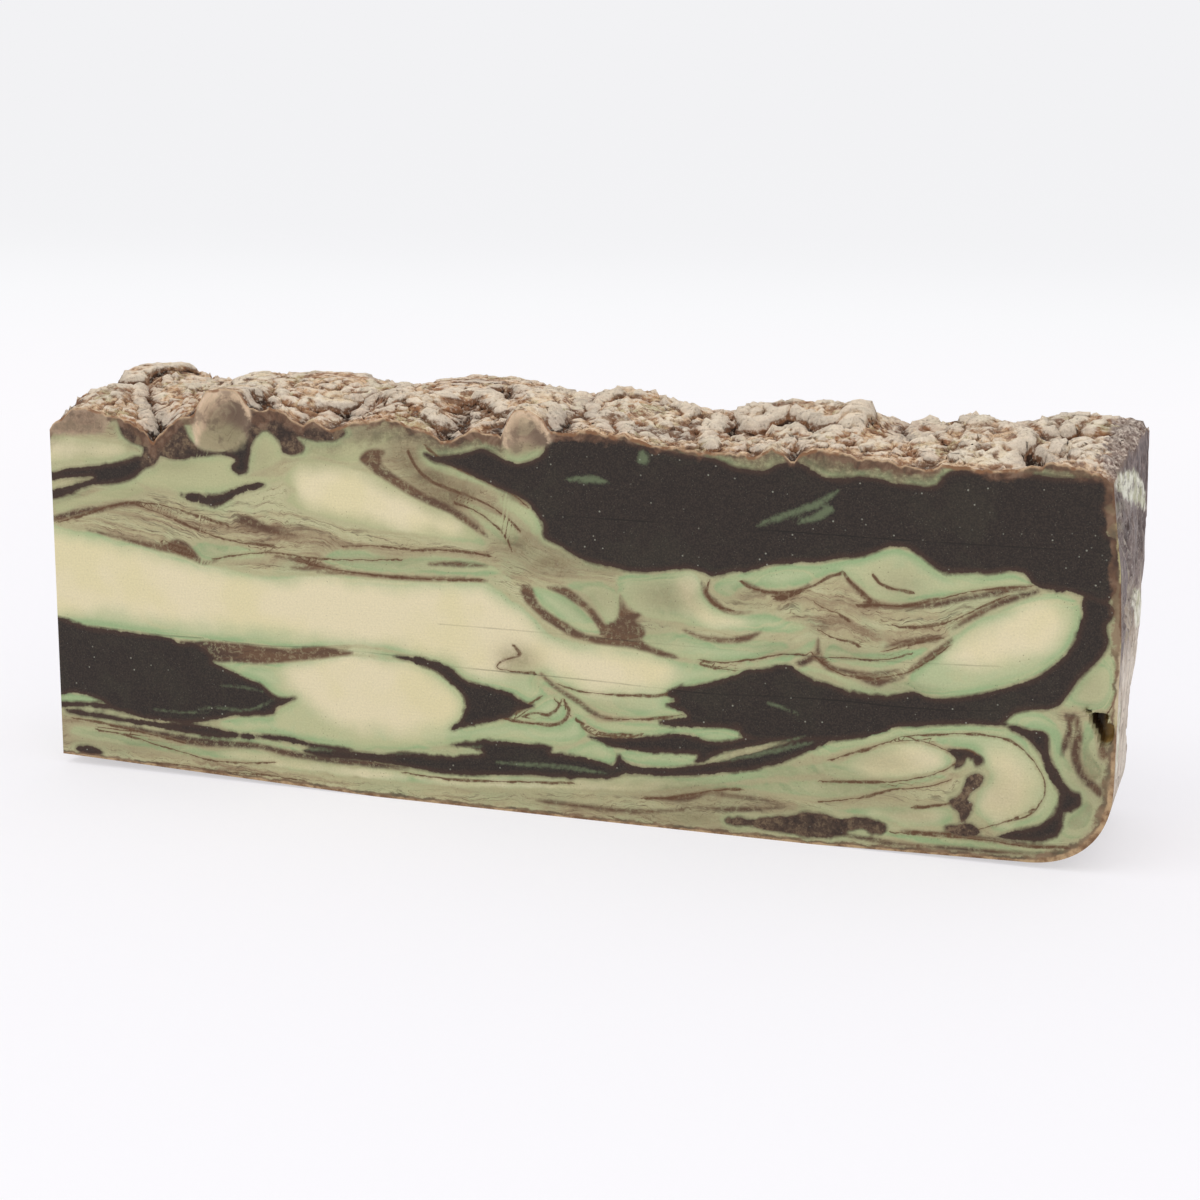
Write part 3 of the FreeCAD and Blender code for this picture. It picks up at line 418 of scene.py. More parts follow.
# Murky olive ovals where the veil lies thin over pale soap, given like the brown ones.
MURK = (
    (140, 52, 7, 4.4, 0.55), (155, 53.4, 9, 5, 0.7), (172, 55, 8, 3.4, 0.35), (208, 60, 6, 4, 0.5),
    (121, 36.4, 5, 3.4, 0.75), (33, 77, 9, 2.6, 0.35), (57, 80, 4, 5, 0.35), (72, 82, 8, 3, 0.45),
    (86, 84, 7, 3, 0.5), (110, 79, 12, 3, 0.35), (200, 12.5, 16, 3.4, 0.35), (212, 9.6, 9, 3, 0.5),
    (182, 12.4, 14, 2, 0.45), (236, 2.6, 20, 2.4, 0.5), (249, 41, 4, 6, 0.5), (250, 26, 3, 8, 0.35),
    (142, 9.4, 12, 2, 0.5), (128, 4, 30, 2.2, 0.4), (12, 8, 14, 2.4, 0.4), (184, 16, 12, 3, 0.5),
    (16, 66, 16, 3.4, 0.3), (30, 8.4, 26, 2.6, 0.45), (60, 6.6, 20, 2, 0.3), (152, 44, 9, 2.4, 0.3),
    (182, 43.6, 8, 1.6, 0.4), (196, 44, 8, 2.4, 0.45), (206, 37.6, 6, 1.4, 0.4), (252, 72, 4, 16, 0.5),
    (192, 16, 14, 4, 0.5), (206, 20.6, 9, 3, 0.5), (199, 14, 14, 5, 0.6), (162, 9, 22, 4, 0.75),
    (164, 3, 14, 2.6, 0.8), (16, 6, 16, 2.6, 0.5), (138, 8.4, 20, 2, 0.45), (250, 20, 6, 10, 0.9),
    (247, 11, 6, 4, 0.6), (232, 15, 9, 8, 0.3), (207, 36.6, 9, 2.2, 0.85), (226, 7, 8, 3, 0.4),
    (26, 69, 12, 2.4, 0.3), (14, 79, 16, 2.4, 0.25), (120, 84.4, 8, 2, 0.8), (200, 84.4, 18, 3, 1),
    (111, 85, 9, 2.4, 0.85), (176, 84, 8, 2, 0.7), (131, 84.6, 6, 3, 0.95), (246, 85, 8, 2.4, 0.8),
    (90, 83, 5, 3, 0.6), (44, 56.4, 8, 2.4, 0.4), (92, 57, 20, 2.4, 0.45), (95, 80, 5, 3.6, 0.7),
    (100, 77, 7, 3.4, 0.9), (106, 73.4, 6, 3.4, 0.9), (121, 75, 3.4, 2, 1), (121, 63, 7, 4, 0.85),
    (129, 59.4, 9, 3.6, 0.8), (112, 70, 6, 3.4, 0.5), (140, 59.6, 8, 2.4, 0.8), (146, 50, 6, 4, 0.4),
    (142, 27.5, 9, 1.6, 0.25),
)

# Threads of brown soap on the cut face, from one end of each to the other.
THREADS: Layer = {
    "ring outer": ((200.5, 22.1), (205.1, 24.4), (209.7, 26.5), (215.2, 27.4), (219.7, 28), (224.2, 28.6),
        (228.7, 28.6), (232.3, 28), (235.3, 26.4), (237.8, 24.1), (239.8, 21.2), (240.7, 18.5),
        (240.3, 15.9), (239.2, 13.5), (236.8, 11.3), (233, 9.9), (230.4, 8.7)),
    "ring lens": ((194, 19.8), (200.5, 22.4), (206.5, 24.9), (209.7, 25.6), (214.3, 25.9), (218, 24.8),
        (220.3, 24.3), (222.5, 24.8), (224.6, 24.7), (226.2, 23.5)),
    "ring lower": ((192, 14.6), (200.7, 15.4), (205.4, 15.9), (210, 16.7), (214.5, 17.9), (217.7, 19.2),
        (220.2, 20.7), (221.4, 21.7)),
    "ring low two": ((192, 10), (200.8, 11.8), (204.5, 13.1), (208.2, 14.5), (212.8, 15.3), (216.9, 16.4),
        (220.1, 17.8)),
    "core arc": ((238.8, 13.9), (237, 12.2), (234.8, 10.9), (232.6, 9.8), (229.5, 8.6), (226.4, 7.2)),
    "foot": ((211.6, 5.2), (216.3, 5.5), (221.4, 5.8)),
    "foot two": ((212.7, 10.9), (217.5, 11.8), (220.8, 12.8)),
    "swirl": ((173.4, 58.1), (175.7, 56.9), (178.8, 56.3), (182, 56.3), (184.6, 56.7), (187.7, 57.8),
        (189.9, 58.8), (192.5, 60.4), (195.4, 61.7)),
    "swirl lens": ((181.1, 54.8), (182.9, 55.2), (185.1, 56), (187.3, 57.1)),
    "eye": ((196.5, 61.1), (198.3, 59), (200.5, 57.4), (201.9, 56.2)),
    "under blob": ((199.3, 54.8), (201.9, 55.1), (204.9, 55.3), (208.4, 55.4), (211.8, 56.1), (214.8, 57.1),
        (217.8, 57.8), (221.1, 58.9), (225.3, 60), (229.5, 60.8), (236, 61.6)),
    "blob inner": ((202.6, 61.5), (203.9, 60.1), (206.1, 59.1), (208.7, 58.7), (210.9, 58.5)),
    "fan a": ((189.6, 54.8), (191.8, 53.6), (194.9, 52.7), (197.2, 51.5)),
    "fan b": ((191, 48.7), (192.8, 47.6), (195.5, 46.9), (198.1, 46.6), (199.5, 45.9)),
    "fan c": ((205.2, 45.2), (206.9, 45.8), (209.5, 46.7), (212.1, 47.5), (215.1, 48.4), (217.4, 49.1)),
    "fan d": ((207.2, 51.1), (208.9, 50.8), (211.5, 51), (214.1, 51.4), (217.1, 52.1), (221, 53.6),
        (226, 56.6), (231, 59.2)),
    "fan e": ((192.9, 42.7), (196.5, 43), (200.9, 42.9), (204.4, 43.2), (207.8, 43.9), (210.8, 45)),
    "fan f": ((189.4, 43.2), (192.1, 41.2), (194.8, 39.7), (198.3, 39), (202.3, 39), (205.8, 39.5),
        (208.8, 40.3), (211.4, 41.5), (213.9, 43.1), (216.5, 45), (219.2, 47.5)),
    "right arc": ((165.9, 57.7), (165.3, 55.5), (166.2, 53.6), (168.2, 52.3), (171.2, 51.6)),
    "right arc b": ((164, 38.8), (167.7, 38.3), (172.3, 38)),
    "right arc c": ((164, 39.8), (168.6, 39.6), (173.2, 40.3), (177.7, 41.4), (183.1, 42.7), (187.6, 42.8)),
    "tongue": ((130.6, 31.3), (135, 30.3), (139.8, 30), (145.5, 30.2), (152.6, 30.6), (156.4, 31.3)),
    "under tongue": ((142.2, 24.4), (146.5, 24.6), (151.2, 25.1), (155.9, 25.9), (159.7, 26.8)),
    "curl outer": ((113.6, 22.6), (118.6, 22), (123.8, 21.6), (129.1, 21.7), (132.1, 23), (133.1, 25.4),
        (132.1, 27.5)),
    "curl inner": ((120.3, 23.7), (123.3, 25.9), (126.3, 28)),
    "curl eye": ((121.8, 23), (125.2, 24.2), (128.2, 24), (130.1, 25.3), (130.7, 26.7), (129.9, 27.5)),
    "low": ((136.2, 22), (138.8, 20.4), (143.1, 19.7), (147.9, 20.6), (150.5, 21.4)),
    "low two": ((135, 23.4), (137.4, 22.3), (140.3, 21.1), (143.6, 20.8), (148.4, 21.3)),
    "smudge": ((120, 39.4), (121.4, 37.6), (119, 36.5), (116.5, 35.3), (116, 33.8), (121.4, 33.4),
        (124.8, 33.4)),
    "left band": ((2, 60.6), (10, 63.2), (17, 65.6), (24, 66.8), (31, 66.6), (40, 64.6), (48, 62.8)),
    "left band two": ((24, 66.2), (33, 63.6), (42, 60.6), (50, 59), (60, 58.6)),
    "left eye": ((30.4, 58.4), (33.2, 57.2), (36.6, 56.4), (38.4, 55), (35.4, 55.2), (32, 56.2),
        (29.8, 57.4), (30.4, 58.4)),
    "mid line": ((66, 55.4), (74, 54.2), (82, 53.7), (92, 53.4), (102, 53.6), (112, 54.2)),
    "mid line two": ((44, 54.4), (52, 56.2), (60, 57), (70, 56.4), (80, 56.6), (92, 57.6)),
    "mid line three": ((78, 59.6), (86, 60.4), (95, 60), (104, 60.6), (114, 60)),
    "drape one": ((94.6, 82.6), (96.4, 79.4), (100, 76.4), (106, 74.2), (112, 72.4), (117.4, 69.8),
        (121.4, 66.4)),
    "drape three": ((99, 84.2), (102.4, 81.4), (107.6, 79.2), (113.6, 77), (119, 75), (123.4, 71.8)),
    "drape four": ((106, 71.6), (110.4, 70.2), (114.6, 67.8), (118, 64.8), (119.4, 61.8)),
    "edge": ((254.4, 44.8), (254.9, 42.4), (254.6, 40.2), (253.6, 37.2), (252.8, 35.4)),
    "sole one": ((10, 9.4), (18, 8.8), (26, 7.2), (34, 5.8), (42, 4.6), (50, 4.8), (58, 5.8)),
    "sole two": ((25, 2.2), (34, 2.6), (44, 2), (54, 2.4), (66, 2)),
    "sole three": ((3.4, 11.6), (10, 11.4), (18, 10.4), (26, 9.4), (34, 8.4)),
    "lower": ((92, 6.6), (102, 6.2), (112, 6.6), (124, 7.6), (134, 8.4)),
    "lower right": ((151, 6.6), (157, 7.2), (163, 8.8), (168, 10.2), (174, 11)),
    "foot right": ((208, 4.6), (216, 5), (226, 5.2), (238, 4.8), (246, 5.6)),
}

# Hairlines that the wire dragged along the cut face.
DRAGS: Layer = {
    "mid": ((150, 32.6), (164.1, 32.3), (173.3, 32.6), (182.4, 33), (191.3, 33.3), (200.2, 33.3),
        (209, 33.1), (217.7, 33.3), (225.8, 33.8), (232.1, 34.3), (239.2, 34.8), (245.3, 35)),
    "upper": ((101.7, 43.1), (122.5, 43.1), (140.8, 42.9), (159.5, 42.7), (182.2, 42.7), (200, 42.8),
        (221.7, 43.5), (230.1, 43.9)),
    "low": ((101.6, 33.3), (123.8, 33.1), (140.8, 32.9), (150, 32.6)),
    "block": ((12, 35.4), (22, 35.1), (30, 34.8), (40, 34.9)),
    "tail": ((46, 34.6), (58, 34.4), (70, 35.2), (78, 36.2)),
    "right": ((78, 34.9), (88, 34.8), (98, 34.2), (104, 33.4)),
    "top": ((130, 70.2), (170, 70), (210, 69.7), (250, 69.9)),
}

# Moulded end: patches and pleats, by distance behind the cut face and height.
END_MAUVE: Layer = {
    "top": ((-1, 96), (24, 96), (39, 93), (44, 88), (42, 82), (37, 79), (23, 83.4), (9, 85), (0.5, 87)),
    "streak": ((0.5, 76), (4, 75), (9, 68), (13, 60), (10, 54), (4, 46), (1, 40), (1.5, 52), (4, 60),
        (3, 68)),
    "right": ((40, 72), (46, 76), (49, 66), (48, 56), (46, 62), (42, 66)),
}
END_MINT: Layer = {
    "upper": ((0.2, 86), (8.9, 85), (24.8, 83), (37.6, 76.8), (41.7, 72.2), (29, 75), (13.3, 79),
        (2.1, 83)),
    "low": ((21.9, 56.4), (31.9, 55.4), (45.5, 50.8), (46.3, 46.6), (34.8, 46.3), (26.1, 51.1)),
    "side": ((2, 34), (5, 38), (8, 32), (7, 22), (4, 18), (2.6, 24)),
}
PLEATS: Layer = {
    "one": ((7, 75.4), (1.2, 74.4), (9.1, 68.7), (14, 61.3), (10.2, 56.7), (3.3, 54.4)),
    "two": ((10.6, 72.2), (18.1, 67), (16.2, 60.9), (19.6, 55.2), (10.8, 51.1)),
    "three": ((28.9, 73.8), (30.2, 69.2), (30.5, 63.6), (23.4, 58.9), (27.2, 54.7)),
    "four": ((38, 71.1), (41, 65), (39.3, 59.6), (40.8, 53.5)),
}

# Crest of the cut face: place from the left end and height, in millimetres.
CREST = (
    (0, 83.2), (1.4, 85), (4.3, 87), (6.5, 88.6), (11.3, 89), (15.8, 87.4), (19.4, 87.3), (24.5, 86.7),
    (29, 82.8), (31.6, 85), (35.8, 87.9), (40.5, 88.3), (41.6, 91.2), (43.4, 93.6), (47.7, 95.2),
    (52.3, 93.8), (54.4, 89.9), (58.9, 90.7), (62.3, 91), (67.6, 87.6), (70.6, 89.5), (75.4, 87.1),
    (79.3, 88.2), (87.5, 89.9), (92.6, 89.1), (100, 87.4), (103, 85.7), (106, 86.5), (110, 88.8),
    (112.9, 88), (117.4, 86.9), (118.6, 90.6), (120.9, 93.2), (124.2, 92.9), (127.1, 91.5), (128.8, 88),
    (130.4, 88.6), (138.1, 89.9), (142.9, 88.6), (146.4, 89.2), (151.7, 87.4), (158.2, 87), (164.3, 86.1),
    (171.2, 86.3), (176.3, 85.9), (179.6, 88.1), (184.4, 85.1), (186, 87.2), (189.3, 88.2), (194.3, 87.9),
    (199.3, 86.7), (204.7, 86.7), (207.2, 85.8), (213.9, 85.4), (217.7, 86.6), (221.6, 85.8), (228.2, 85.9),
    (233.4, 87.2), (238, 87.5), (241.8, 88), (247.5, 87.2), (250.9, 86.2), (255, 85.5),
)

# Crown behind the crest: place along the loaf as a share of its length, and height above CREST_HEIGHT.
CREST_HEIGHT = 87.5
CROWN = (
    (0, 1.6), (0.03, 3.4), (0.06, 2.4), (0.09, 1.8), (0.14, 3), (0.18, 4.4), (0.28, 2.8), (0.33, 5.8),
    (0.42, 5), (0.465, 2.8), (0.51, 4.2), (0.57, 0.6), (0.63, 0), (0.665, -0.8), (0.745, 0.8),
    (0.785, -0.8), (0.82, 0.6), (0.84, 1), (0.875, -1.2), (0.915, 0.6), (1, 1),
)

# Broad folds of the spooned top: place along and across as shares of the length and depth, rise,
# reach along the fold and across it in millimetres, and the fold's turn in degrees.
FOLDS = (
    (0.025, 0.8, 3, 16, 8.5, 20), (0.08, 0.4, 1.8, 10, 7, 70), (0.085, 0.24, -2.8, 15, 5.5, 122),
    (0.15, 0.66, 2.2, 13, 7.5, 100), (0.19, 0.18, 2.4, 8, 7, 80), (0.235, 0.72, 2.6, 15, 10, 0),
    (0.3, 0.26, -2.4, 11, 5.5, 65), (0.328, 0.88, -2, 8, 6.5, 0), (0.355, 0.34, 1.8, 15, 6, 128),
    (0.38, 0.62, 2.6, 13, 9, 10), (0.41, 0.22, -2, 9, 6, 100), (0.465, 0.46, 2.8, 13, 7.5, 95),
    (0.504, 0.56, -2.8, 15, 5.5, 100), (0.56, 0.6, 2.2, 14, 10, 15), (0.62, 0.26, -1.8, 13, 6.5, 20),
    (0.69, 0.72, 3.4, 15, 7.5, 5), (0.715, 0.38, -2, 11, 5.5, 25), (0.75, 0.56, 2, 9, 8, 60),
    (0.81, 0.7, -3.2, 13, 8, 80), (0.865, 0.56, 3, 14, 7, 125), (0.92, 0.16, -3.4, 8, 6, 10),
    (0.945, 0.74, 2.8, 15, 9, 0),
)

# Plates, rolls and lips laid on the top, from the bottom one up: outline (place from the left end,
# distance behind the cut face), how far the plate stands up, how wide its edge is, and its tone,
# from -1 for dark grey-brown through 0 for tan to 1 for pale cream.
PLATES = (
    (((0.5, 33), (0.5, 38), (3.5, 41), (8, 45), (12, 48), (12.6, 48), (12.8, 44), (10, 38), (8, 33),
        (8, 29.5), (5, 28.5), (3, 29)), 1.8, 0.7, -0.1),
    (((3, 12), (9, 9), (14, 11), (16, 17), (14, 23), (9, 24), (4, 21)), 0.8, 1, -0.35),
    (((10, 25), (12.5, 27), (15, 22), (19, 16.5), (22, 12), (25.5, 6.5), (24.5, 4.5), (20.5, 9.5),
        (16.5, 15), (12.5, 20)), 0.9, 0.8, 0.5),
    (((14, 31.5), (14, 38), (17, 42), (21.5, 41), (25, 35), (27, 27), (26, 22.5), (22, 24), (17, 27)), 0.8,
        1, 0.45),
    (((38, 25), (38, 33), (40, 38), (45, 31), (50, 25), (55, 17), (59, 9.5), (57, 8), (53, 10), (47, 15),
        (42, 19)), 1.4, 0.7, 0.75),
    (((40.4, -4), (40.8, 5), (43, 10.5), (48, 12.5), (53, 11), (55.2, 6), (54.6, -4)), 1.6, 0.9, 0.15),
    (((50.5, 22), (48.5, 29), (49.5, 37), (54, 42), (61, 42), (68, 38), (72, 32), (76, 24.5), (75.5, 20.5),
        (72.5, 17.5), (69, 13), (64.5, 9.5), (60, 9), (56, 12.5), (52.5, 16.5)), 1.6, 0.8, 0.25),
    (((78, 19), (78.5, 22), (82, 19.5), (87, 13.5), (89.5, 9.5), (88, 6), (84, 7.5), (80.5, 13)), 0.8, 0.8,
        -0.7),
    (((74.5, 14.5), (76, 19), (79, 23), (84.5, 19), (89, 13), (88, 10.8), (84.5, 14), (80, 18.5),
        (77.5, 16), (76.5, 13.5)), 1, 0.7, 0.2),
    (((86.5, 15.5), (90.5, 14), (95, 11.5), (99, 9.5), (103.5, 6), (102.5, 3.5), (98.5, 5), (94.5, 7.5),
        (89.5, 11.5)), 1.1, 0.6, -0.1),
    (((94.5, 18), (96, 20.5), (100, 22.5), (103.5, 25), (106, 23), (104.5, 19.5), (100.5, 17.5),
        (96.5, 15.5)), 1.2, 0.7, 0.9),
    (((104, 20), (106, 23), (109, 22), (113, 18.5), (115, 13.5), (112.5, 12.5), (108, 15.5)), 1.2, 0.7,
        -0.2),
    (((83, 45), (89, 49), (99, 50), (108, 47), (109, 39), (104, 34), (98, 31), (90, 34), (85, 39)), 1, 0.8,
        0),
    (((108, 32), (107.5, 42), (112, 46), (118, 46), (123, 42), (127, 32), (128, 21), (125, 17), (119, 16.5),
        (113.5, 20)), 0.7, 1, 0.3),
    (((117.6, -4), (117.8, 6), (119.5, 13), (122, 15.5), (126, 13), (128.5, 8), (128.6, -4)), 1.4, 0.8,
        0.1),
    (((123.5, 16.5), (126, 18.5), (129, 13), (132, 7), (131, 2), (128.5, 4), (126.5, 9.5)), 0.9, 0.6, -0.6),
    (((129.5, 17), (126, 27), (124.5, 38), (127.5, 46), (134, 49.5), (141, 48.5), (147, 44), (152, 36),
        (153.5, 29.5), (152, 26), (150, 31), (146, 38), (140, 42), (134, 42.5), (130, 39), (129.5, 31),
        (131.5, 22)), 1.7, 0.7, -0.05),
    (((131.5, 30), (135, 32), (141, 31), (147, 29), (152, 25.5), (151.5, 20), (147.5, 17), (142, 17.5),
        (136.5, 20)), 0.3, 0.9, 0.5),
    (((147.5, 20.5), (149.5, 21.5), (150.3, 19.5), (148.3, 18.4)), 0.6, 0.6, -0.2),
    (((143, 14.5), (147.5, 16.5), (152.5, 19.5), (156, 24), (158.5, 23), (158, 16), (155.5, 10),
        (151.5, 5.5), (147, 4.5), (143.5, 8.5)), 0.6, 0.8, -0.85),
    (((131, 21), (133, 24), (138, 20), (142.5, 15.5), (144.5, 9), (142, 5), (138, 5.5), (134.5, 11)), 1,
        0.6, -0.6),
    (((158, 19), (158, 26), (160.5, 29), (161.5, 24), (162, 17), (165.5, 6), (164.5, 2), (161.5, 8)), 1.3,
        0.6, 0.75),
    (((164, 30), (164, 40), (168, 46), (176, 48), (185, 47), (190.5, 41), (193.5, 32), (194, 24),
        (192, 20.5), (188.5, 24), (183, 27), (178, 29.5), (173.5, 30.5), (170, 26), (167, 26)), 2.4, 0.6,
        -0.4),
    (((172.5, 25.5), (173, 28.5), (176.5, 29), (180, 26), (178.5, 22.5), (175.5, 21.5)), 1.6, 0.6, 0.3),
    (((177, 19), (178.5, 23.5), (182.5, 24.5), (187, 21), (190.5, 14), (190, 8.5), (185.5, 6.5), (181.5, 8),
        (178.5, 12.5)), 1, 0.7, 0.1),
    (((182, 24.8), (186, 24.5), (190.5, 22), (192.5, 18.5), (190.5, 14.5), (186.5, 18.5)), 1.3, 0.6, 0),
    (((175, 2.5), (176.5, 6), (180, 5.5), (183, 1), (179, -1)), 0.6, 0.6, 0.6),
    (((189.5, 29), (190, 40), (192, 49), (197, 46), (200.5, 40), (202.5, 32), (204.5, 20), (204, 12),
        (198.5, 8.5), (194.5, 13), (191.5, 20)), 1.3, 1, 0.15),
    (((200.5, 38), (200.5, 44), (203, 48), (206, 48), (208.5, 44), (208.5, 38), (205.5, 35), (202, 35)),
        2.2, 0.6, -0.5),
    (((203.5, 26), (206, 31), (209.5, 22), (213.5, 10), (213.5, 4.5), (210, 6.5), (206.5, 16)), 1, 0.8,
        0.9),
    (((208, 30), (208, 40), (211, 42), (214.5, 30), (218, 20), (218, 13.5), (214.5, 15.5), (211, 22)), 0.9,
        0.8, -0.1),
    (((214, 37), (212.5, 47), (214.8, 49.5), (219, 48.5), (224, 38), (228, 31), (231.5, 21), (230.5, 14.5),
        (226, 13.5), (221, 12), (218.3, 13), (218, 20), (217.5, 29), (216.5, 37), (215.5, 43)), 1.9, 0.5,
        -0.2),
    (((218.5, 3), (218.5, 9), (222, 13), (228, 13), (232, 10.5), (230.5, 7), (226, 4), (222, 2.6)), 1.1,
        0.7, 0.95),
    (((231.5, 31), (232.5, 40), (237, 43), (241, 41), (241.5, 31), (239, 26.5), (234, 27)), 1.5, 0.5, -0.7),
    (((226.5, 44), (230, 46), (232, 38), (232.8, 28), (232, 20.5), (229.5, 28)), 1, 0.6, -0.3),
    (((242, 33), (242.5, 44), (246, 51), (256, 52), (257, 42), (257, 32), (249, 29.5), (243.5, 29)), 1.2,
        0.5, -0.5),
    (((237.5, 16), (239, 21), (243, 26), (246, 22), (245.5, 16), (241.5, 14.4)), 1.1, 0.8, 1),
    (((243.5, 12.5), (245, 20), (248, 27), (251, 25), (250, 19), (250, 11), (249.5, 4), (246, 7)), 0.9, 0.8,
        0.6),
)

# Crevices and pits of the top: outline like a plate's, and depth.
CREVICES = (
    (((11, 27.5), (13, 27), (18, 19), (21.5, 14), (25, 10.5), (28.5, 8), (28, 5), (26.5, 4), (22.5, 9),
        (18, 15), (13.5, 21)), 2.4),
    (((8, 20), (7, 27.5), (9, 30.5), (11, 29), (9.8, 25)), 1.2),
    (((27.4, 1), (27.6, 5), (29.4, 7.6), (31.2, 5), (31, 1)), 1.8),
    (((52.5, 4), (54, 7.2), (57, 7.4), (60.5, 5), (60.5, 1), (56, 1.5)), 1.7),
    (((47.5, 24), (49, 26), (52, 21), (56, 15.5), (54.5, 13.5), (51, 18)), 1.4),
    (((70.5, 13), (72, 17), (75, 21.5), (77, 19), (75, 15.5), (72.5, 13)), 1.7),
    (((79, 36), (81, 42), (85, 40), (90, 30), (96, 19.5), (93, 15), (88.5, 18), (83, 27)), 1.6),
    (((99.5, 27), (102.5, 27), (105.5, 24), (104.5, 22.5), (101.5, 24)), 1.8),
    (((103.5, 28), (107, 31), (111.5, 28.5), (114, 22), (113, 18), (109, 20.5), (106, 24)), 2),
    (((130.2, 14.5), (128.2, 22), (125.2, 33), (123.8, 42), (126, 43), (127.8, 33), (130.4, 23.5),
        (132.4, 15)), 1.8),
    (((168.5, 24.5), (172, 29.5), (177, 29), (182, 27), (187, 24), (192, 20.5), (191, 18.5), (186, 21.5),
        (181, 24), (176, 26), (172, 24.5)), 2.2),
    (((199, 38), (200, 46), (201.8, 38), (205, 28.5), (209, 18), (206, 18), (202.5, 28)), 2),
    (((230.5, 12.5), (231, 15.8), (234, 16), (237.5, 13.5), (240, 10.8), (237.5, 8.2), (233, 8)), 4.2),
    (((237, 26), (239, 28), (242, 32.5), (243, 28.5), (241, 24)), 1.8),
    (((129, 11), (130.8, 10), (131.8, 4.5), (130.4, 1.6), (128.8, 6)), 2),
    (((161.5, 25), (163.5, 27.5), (166, 24.5), (165.6, 20.5), (162.6, 20.5)), 1.8),
    (((171, 5.5), (173, 8.2), (175.4, 6.8), (175, 3.6), (172, 3.2)), 1.6),
    (((178.6, 19), (181, 20.5), (184, 12), (183, 8.2), (180.8, 11)), 1.6),
    (((138, 14.5), (140.6, 13), (143.5, 7), (142.5, 3.6), (139.4, 8.5)), 1.5),
    (((98, 3), (100.5, 5), (103.5, 4.8), (103, 0.5), (100, 0.5)), 1.3),
    (((239.6, 17.2), (240.6, 18.8), (242, 18.4), (241.4, 16.8)), 1.8),
    (((250.6, 33), (251.2, 36), (252.4, 35.4), (252, 32.6)), 1.6),
)

# Rosettes turned into the top by the spoon: centre, radius, spacing of the turns, height of their lips.
ROSETTES = (
    (61, 27, 14, 4.6, 0.7), (96, 28, 13, 4.2, 0.8), (143, 24, 13, 4.4, 0.5), (167, 12, 8.5, 2.8, 0.9),
    (223, 28, 12, 3.2, 0.6), (20, 33, 12, 4.4, 0.7), (117, 34, 12, 4.4, 0.6), (180, 38, 12, 4, 0.5),
    (248, 18, 9, 3.6, 0.6), (47, 3, 9, 2.6, 0.5),
)


def linear(red: int, green: int, blue: int) -> Colour:
    """Turns a colour written as screen values, 0 to 255, into the linear values that shaders take.

    Args:
        red: Red value.
        green: Green value.
        blue: Blue value.

    Returns:
        The colour, opaque.
    """
    share = [value / 255 for value in (red, green, blue)]
    straight = [v / 12.92 if v <= 0.04045 else ((v + 0.055) / 1.055) ** 2.4 for v in share]
    return (*straight, 1.0)


def smooth(value: np.ndarray, low: float, high: float) -> np.ndarray:
    """Smooth step from 0 at low to 1 at high."""
    share = np.clip((value - low) / (high - low), 0.0, 1.0)
    return share * share * (3 - 2 * share)


def bell(offset: np.ndarray, width: float) -> np.ndarray:
    """Bell that is 1 where the offset is nought and falls off over the width."""
    return np.exp(-((offset / width) ** 2))


def stack(*parts: np.ndarray | float) -> np.ndarray:
    """Points from their coordinates, which become the last axis."""
    return np.stack(np.broadcast_arrays(*parts), axis=-1)


def neighbour_sum(grid: np.ndarray) -> np.ndarray:
    """Sum of each point's four neighbours on a grid, whose edges repeat outwards."""
    padded = np.pad(grid, 1, mode="edge")
    return padded[:-2, 1:-1] + padded[2:, 1:-1] + padded[1:-1, :-2] + padded[1:-1, 2:]


def blurred(grid: np.ndarray, rounds: int) -> np.ndarray:
    """Grid with each point set to the mean of its neighbours, some rounds over.

    Args:
        grid: Values by row and column.
        rounds: How many rounds.

    Returns:
        The blurred values.
    """
    for _ in range(rounds):
        grid = neighbour_sum(grid) / 4
    return grid


def steepness(height: np.ndarray, place: np.ndarray, axis: int) -> np.ndarray:
    """Rise of a height along an axis of its grid, for each millimetre of place."""
    return np.gradient(height, axis=axis) / np.maximum(np.gradient(place, axis=axis), 1e-3)


def lattice_noise(points: np.ndarray, seed: int) -> np.ndarray:
    """Gradient noise over a unit lattice, about -1 to 1.

    Each corner of a point's cell has a hashed direction; its value is that direction times the
    point's offset from the corner, and the eight values are blended by a quintic fade.

    Args:
        points: Points, with x, y, z on the last axis, in lattice cells.
        seed: Number that picks the pattern.

    Returns:
        One value for each point.
    """
    cell = np.floor(points).astype(np.int64)
    part = points - cell
    fade = part**3 * (part * (part * 6 - 15) + 10)
    total = np.zeros(points.shape[:-1])
    for corner in np.ndindex(2, 2, 2):
        at = cell + corner
        key = at[..., 0] * 73856093 ^ at[..., 1] * 19349663 ^ at[..., 2] * 83492791 ^ seed * 2654435761
        key = ((key ^ (key >> 15)) * 2246822519) & 0xFFFFFFFF
        key = ((key ^ (key >> 13)) * 3266489917) & 0xFFFFFFFF
        key ^= key >> 16
        slope = np.stack([(key >> shift & 1023) / 511.5 - 1 for shift in (0, 10, 20)], axis=-1)
        weight = np.prod(np.where(corner, fade, 1 - fade), axis=-1)
        total += weight * np.sum(slope * (part - corner), axis=-1)
    return total * 1.5


def layered_noise(points: np.ndarray, seed: int, octaves: int = 3) -> np.ndarray:
    """Sum of lattice noise at doubling pitch and halving height."""
    return sum(lattice_noise(points * 2**k, seed + k) / 2**k for k in range(octaves))


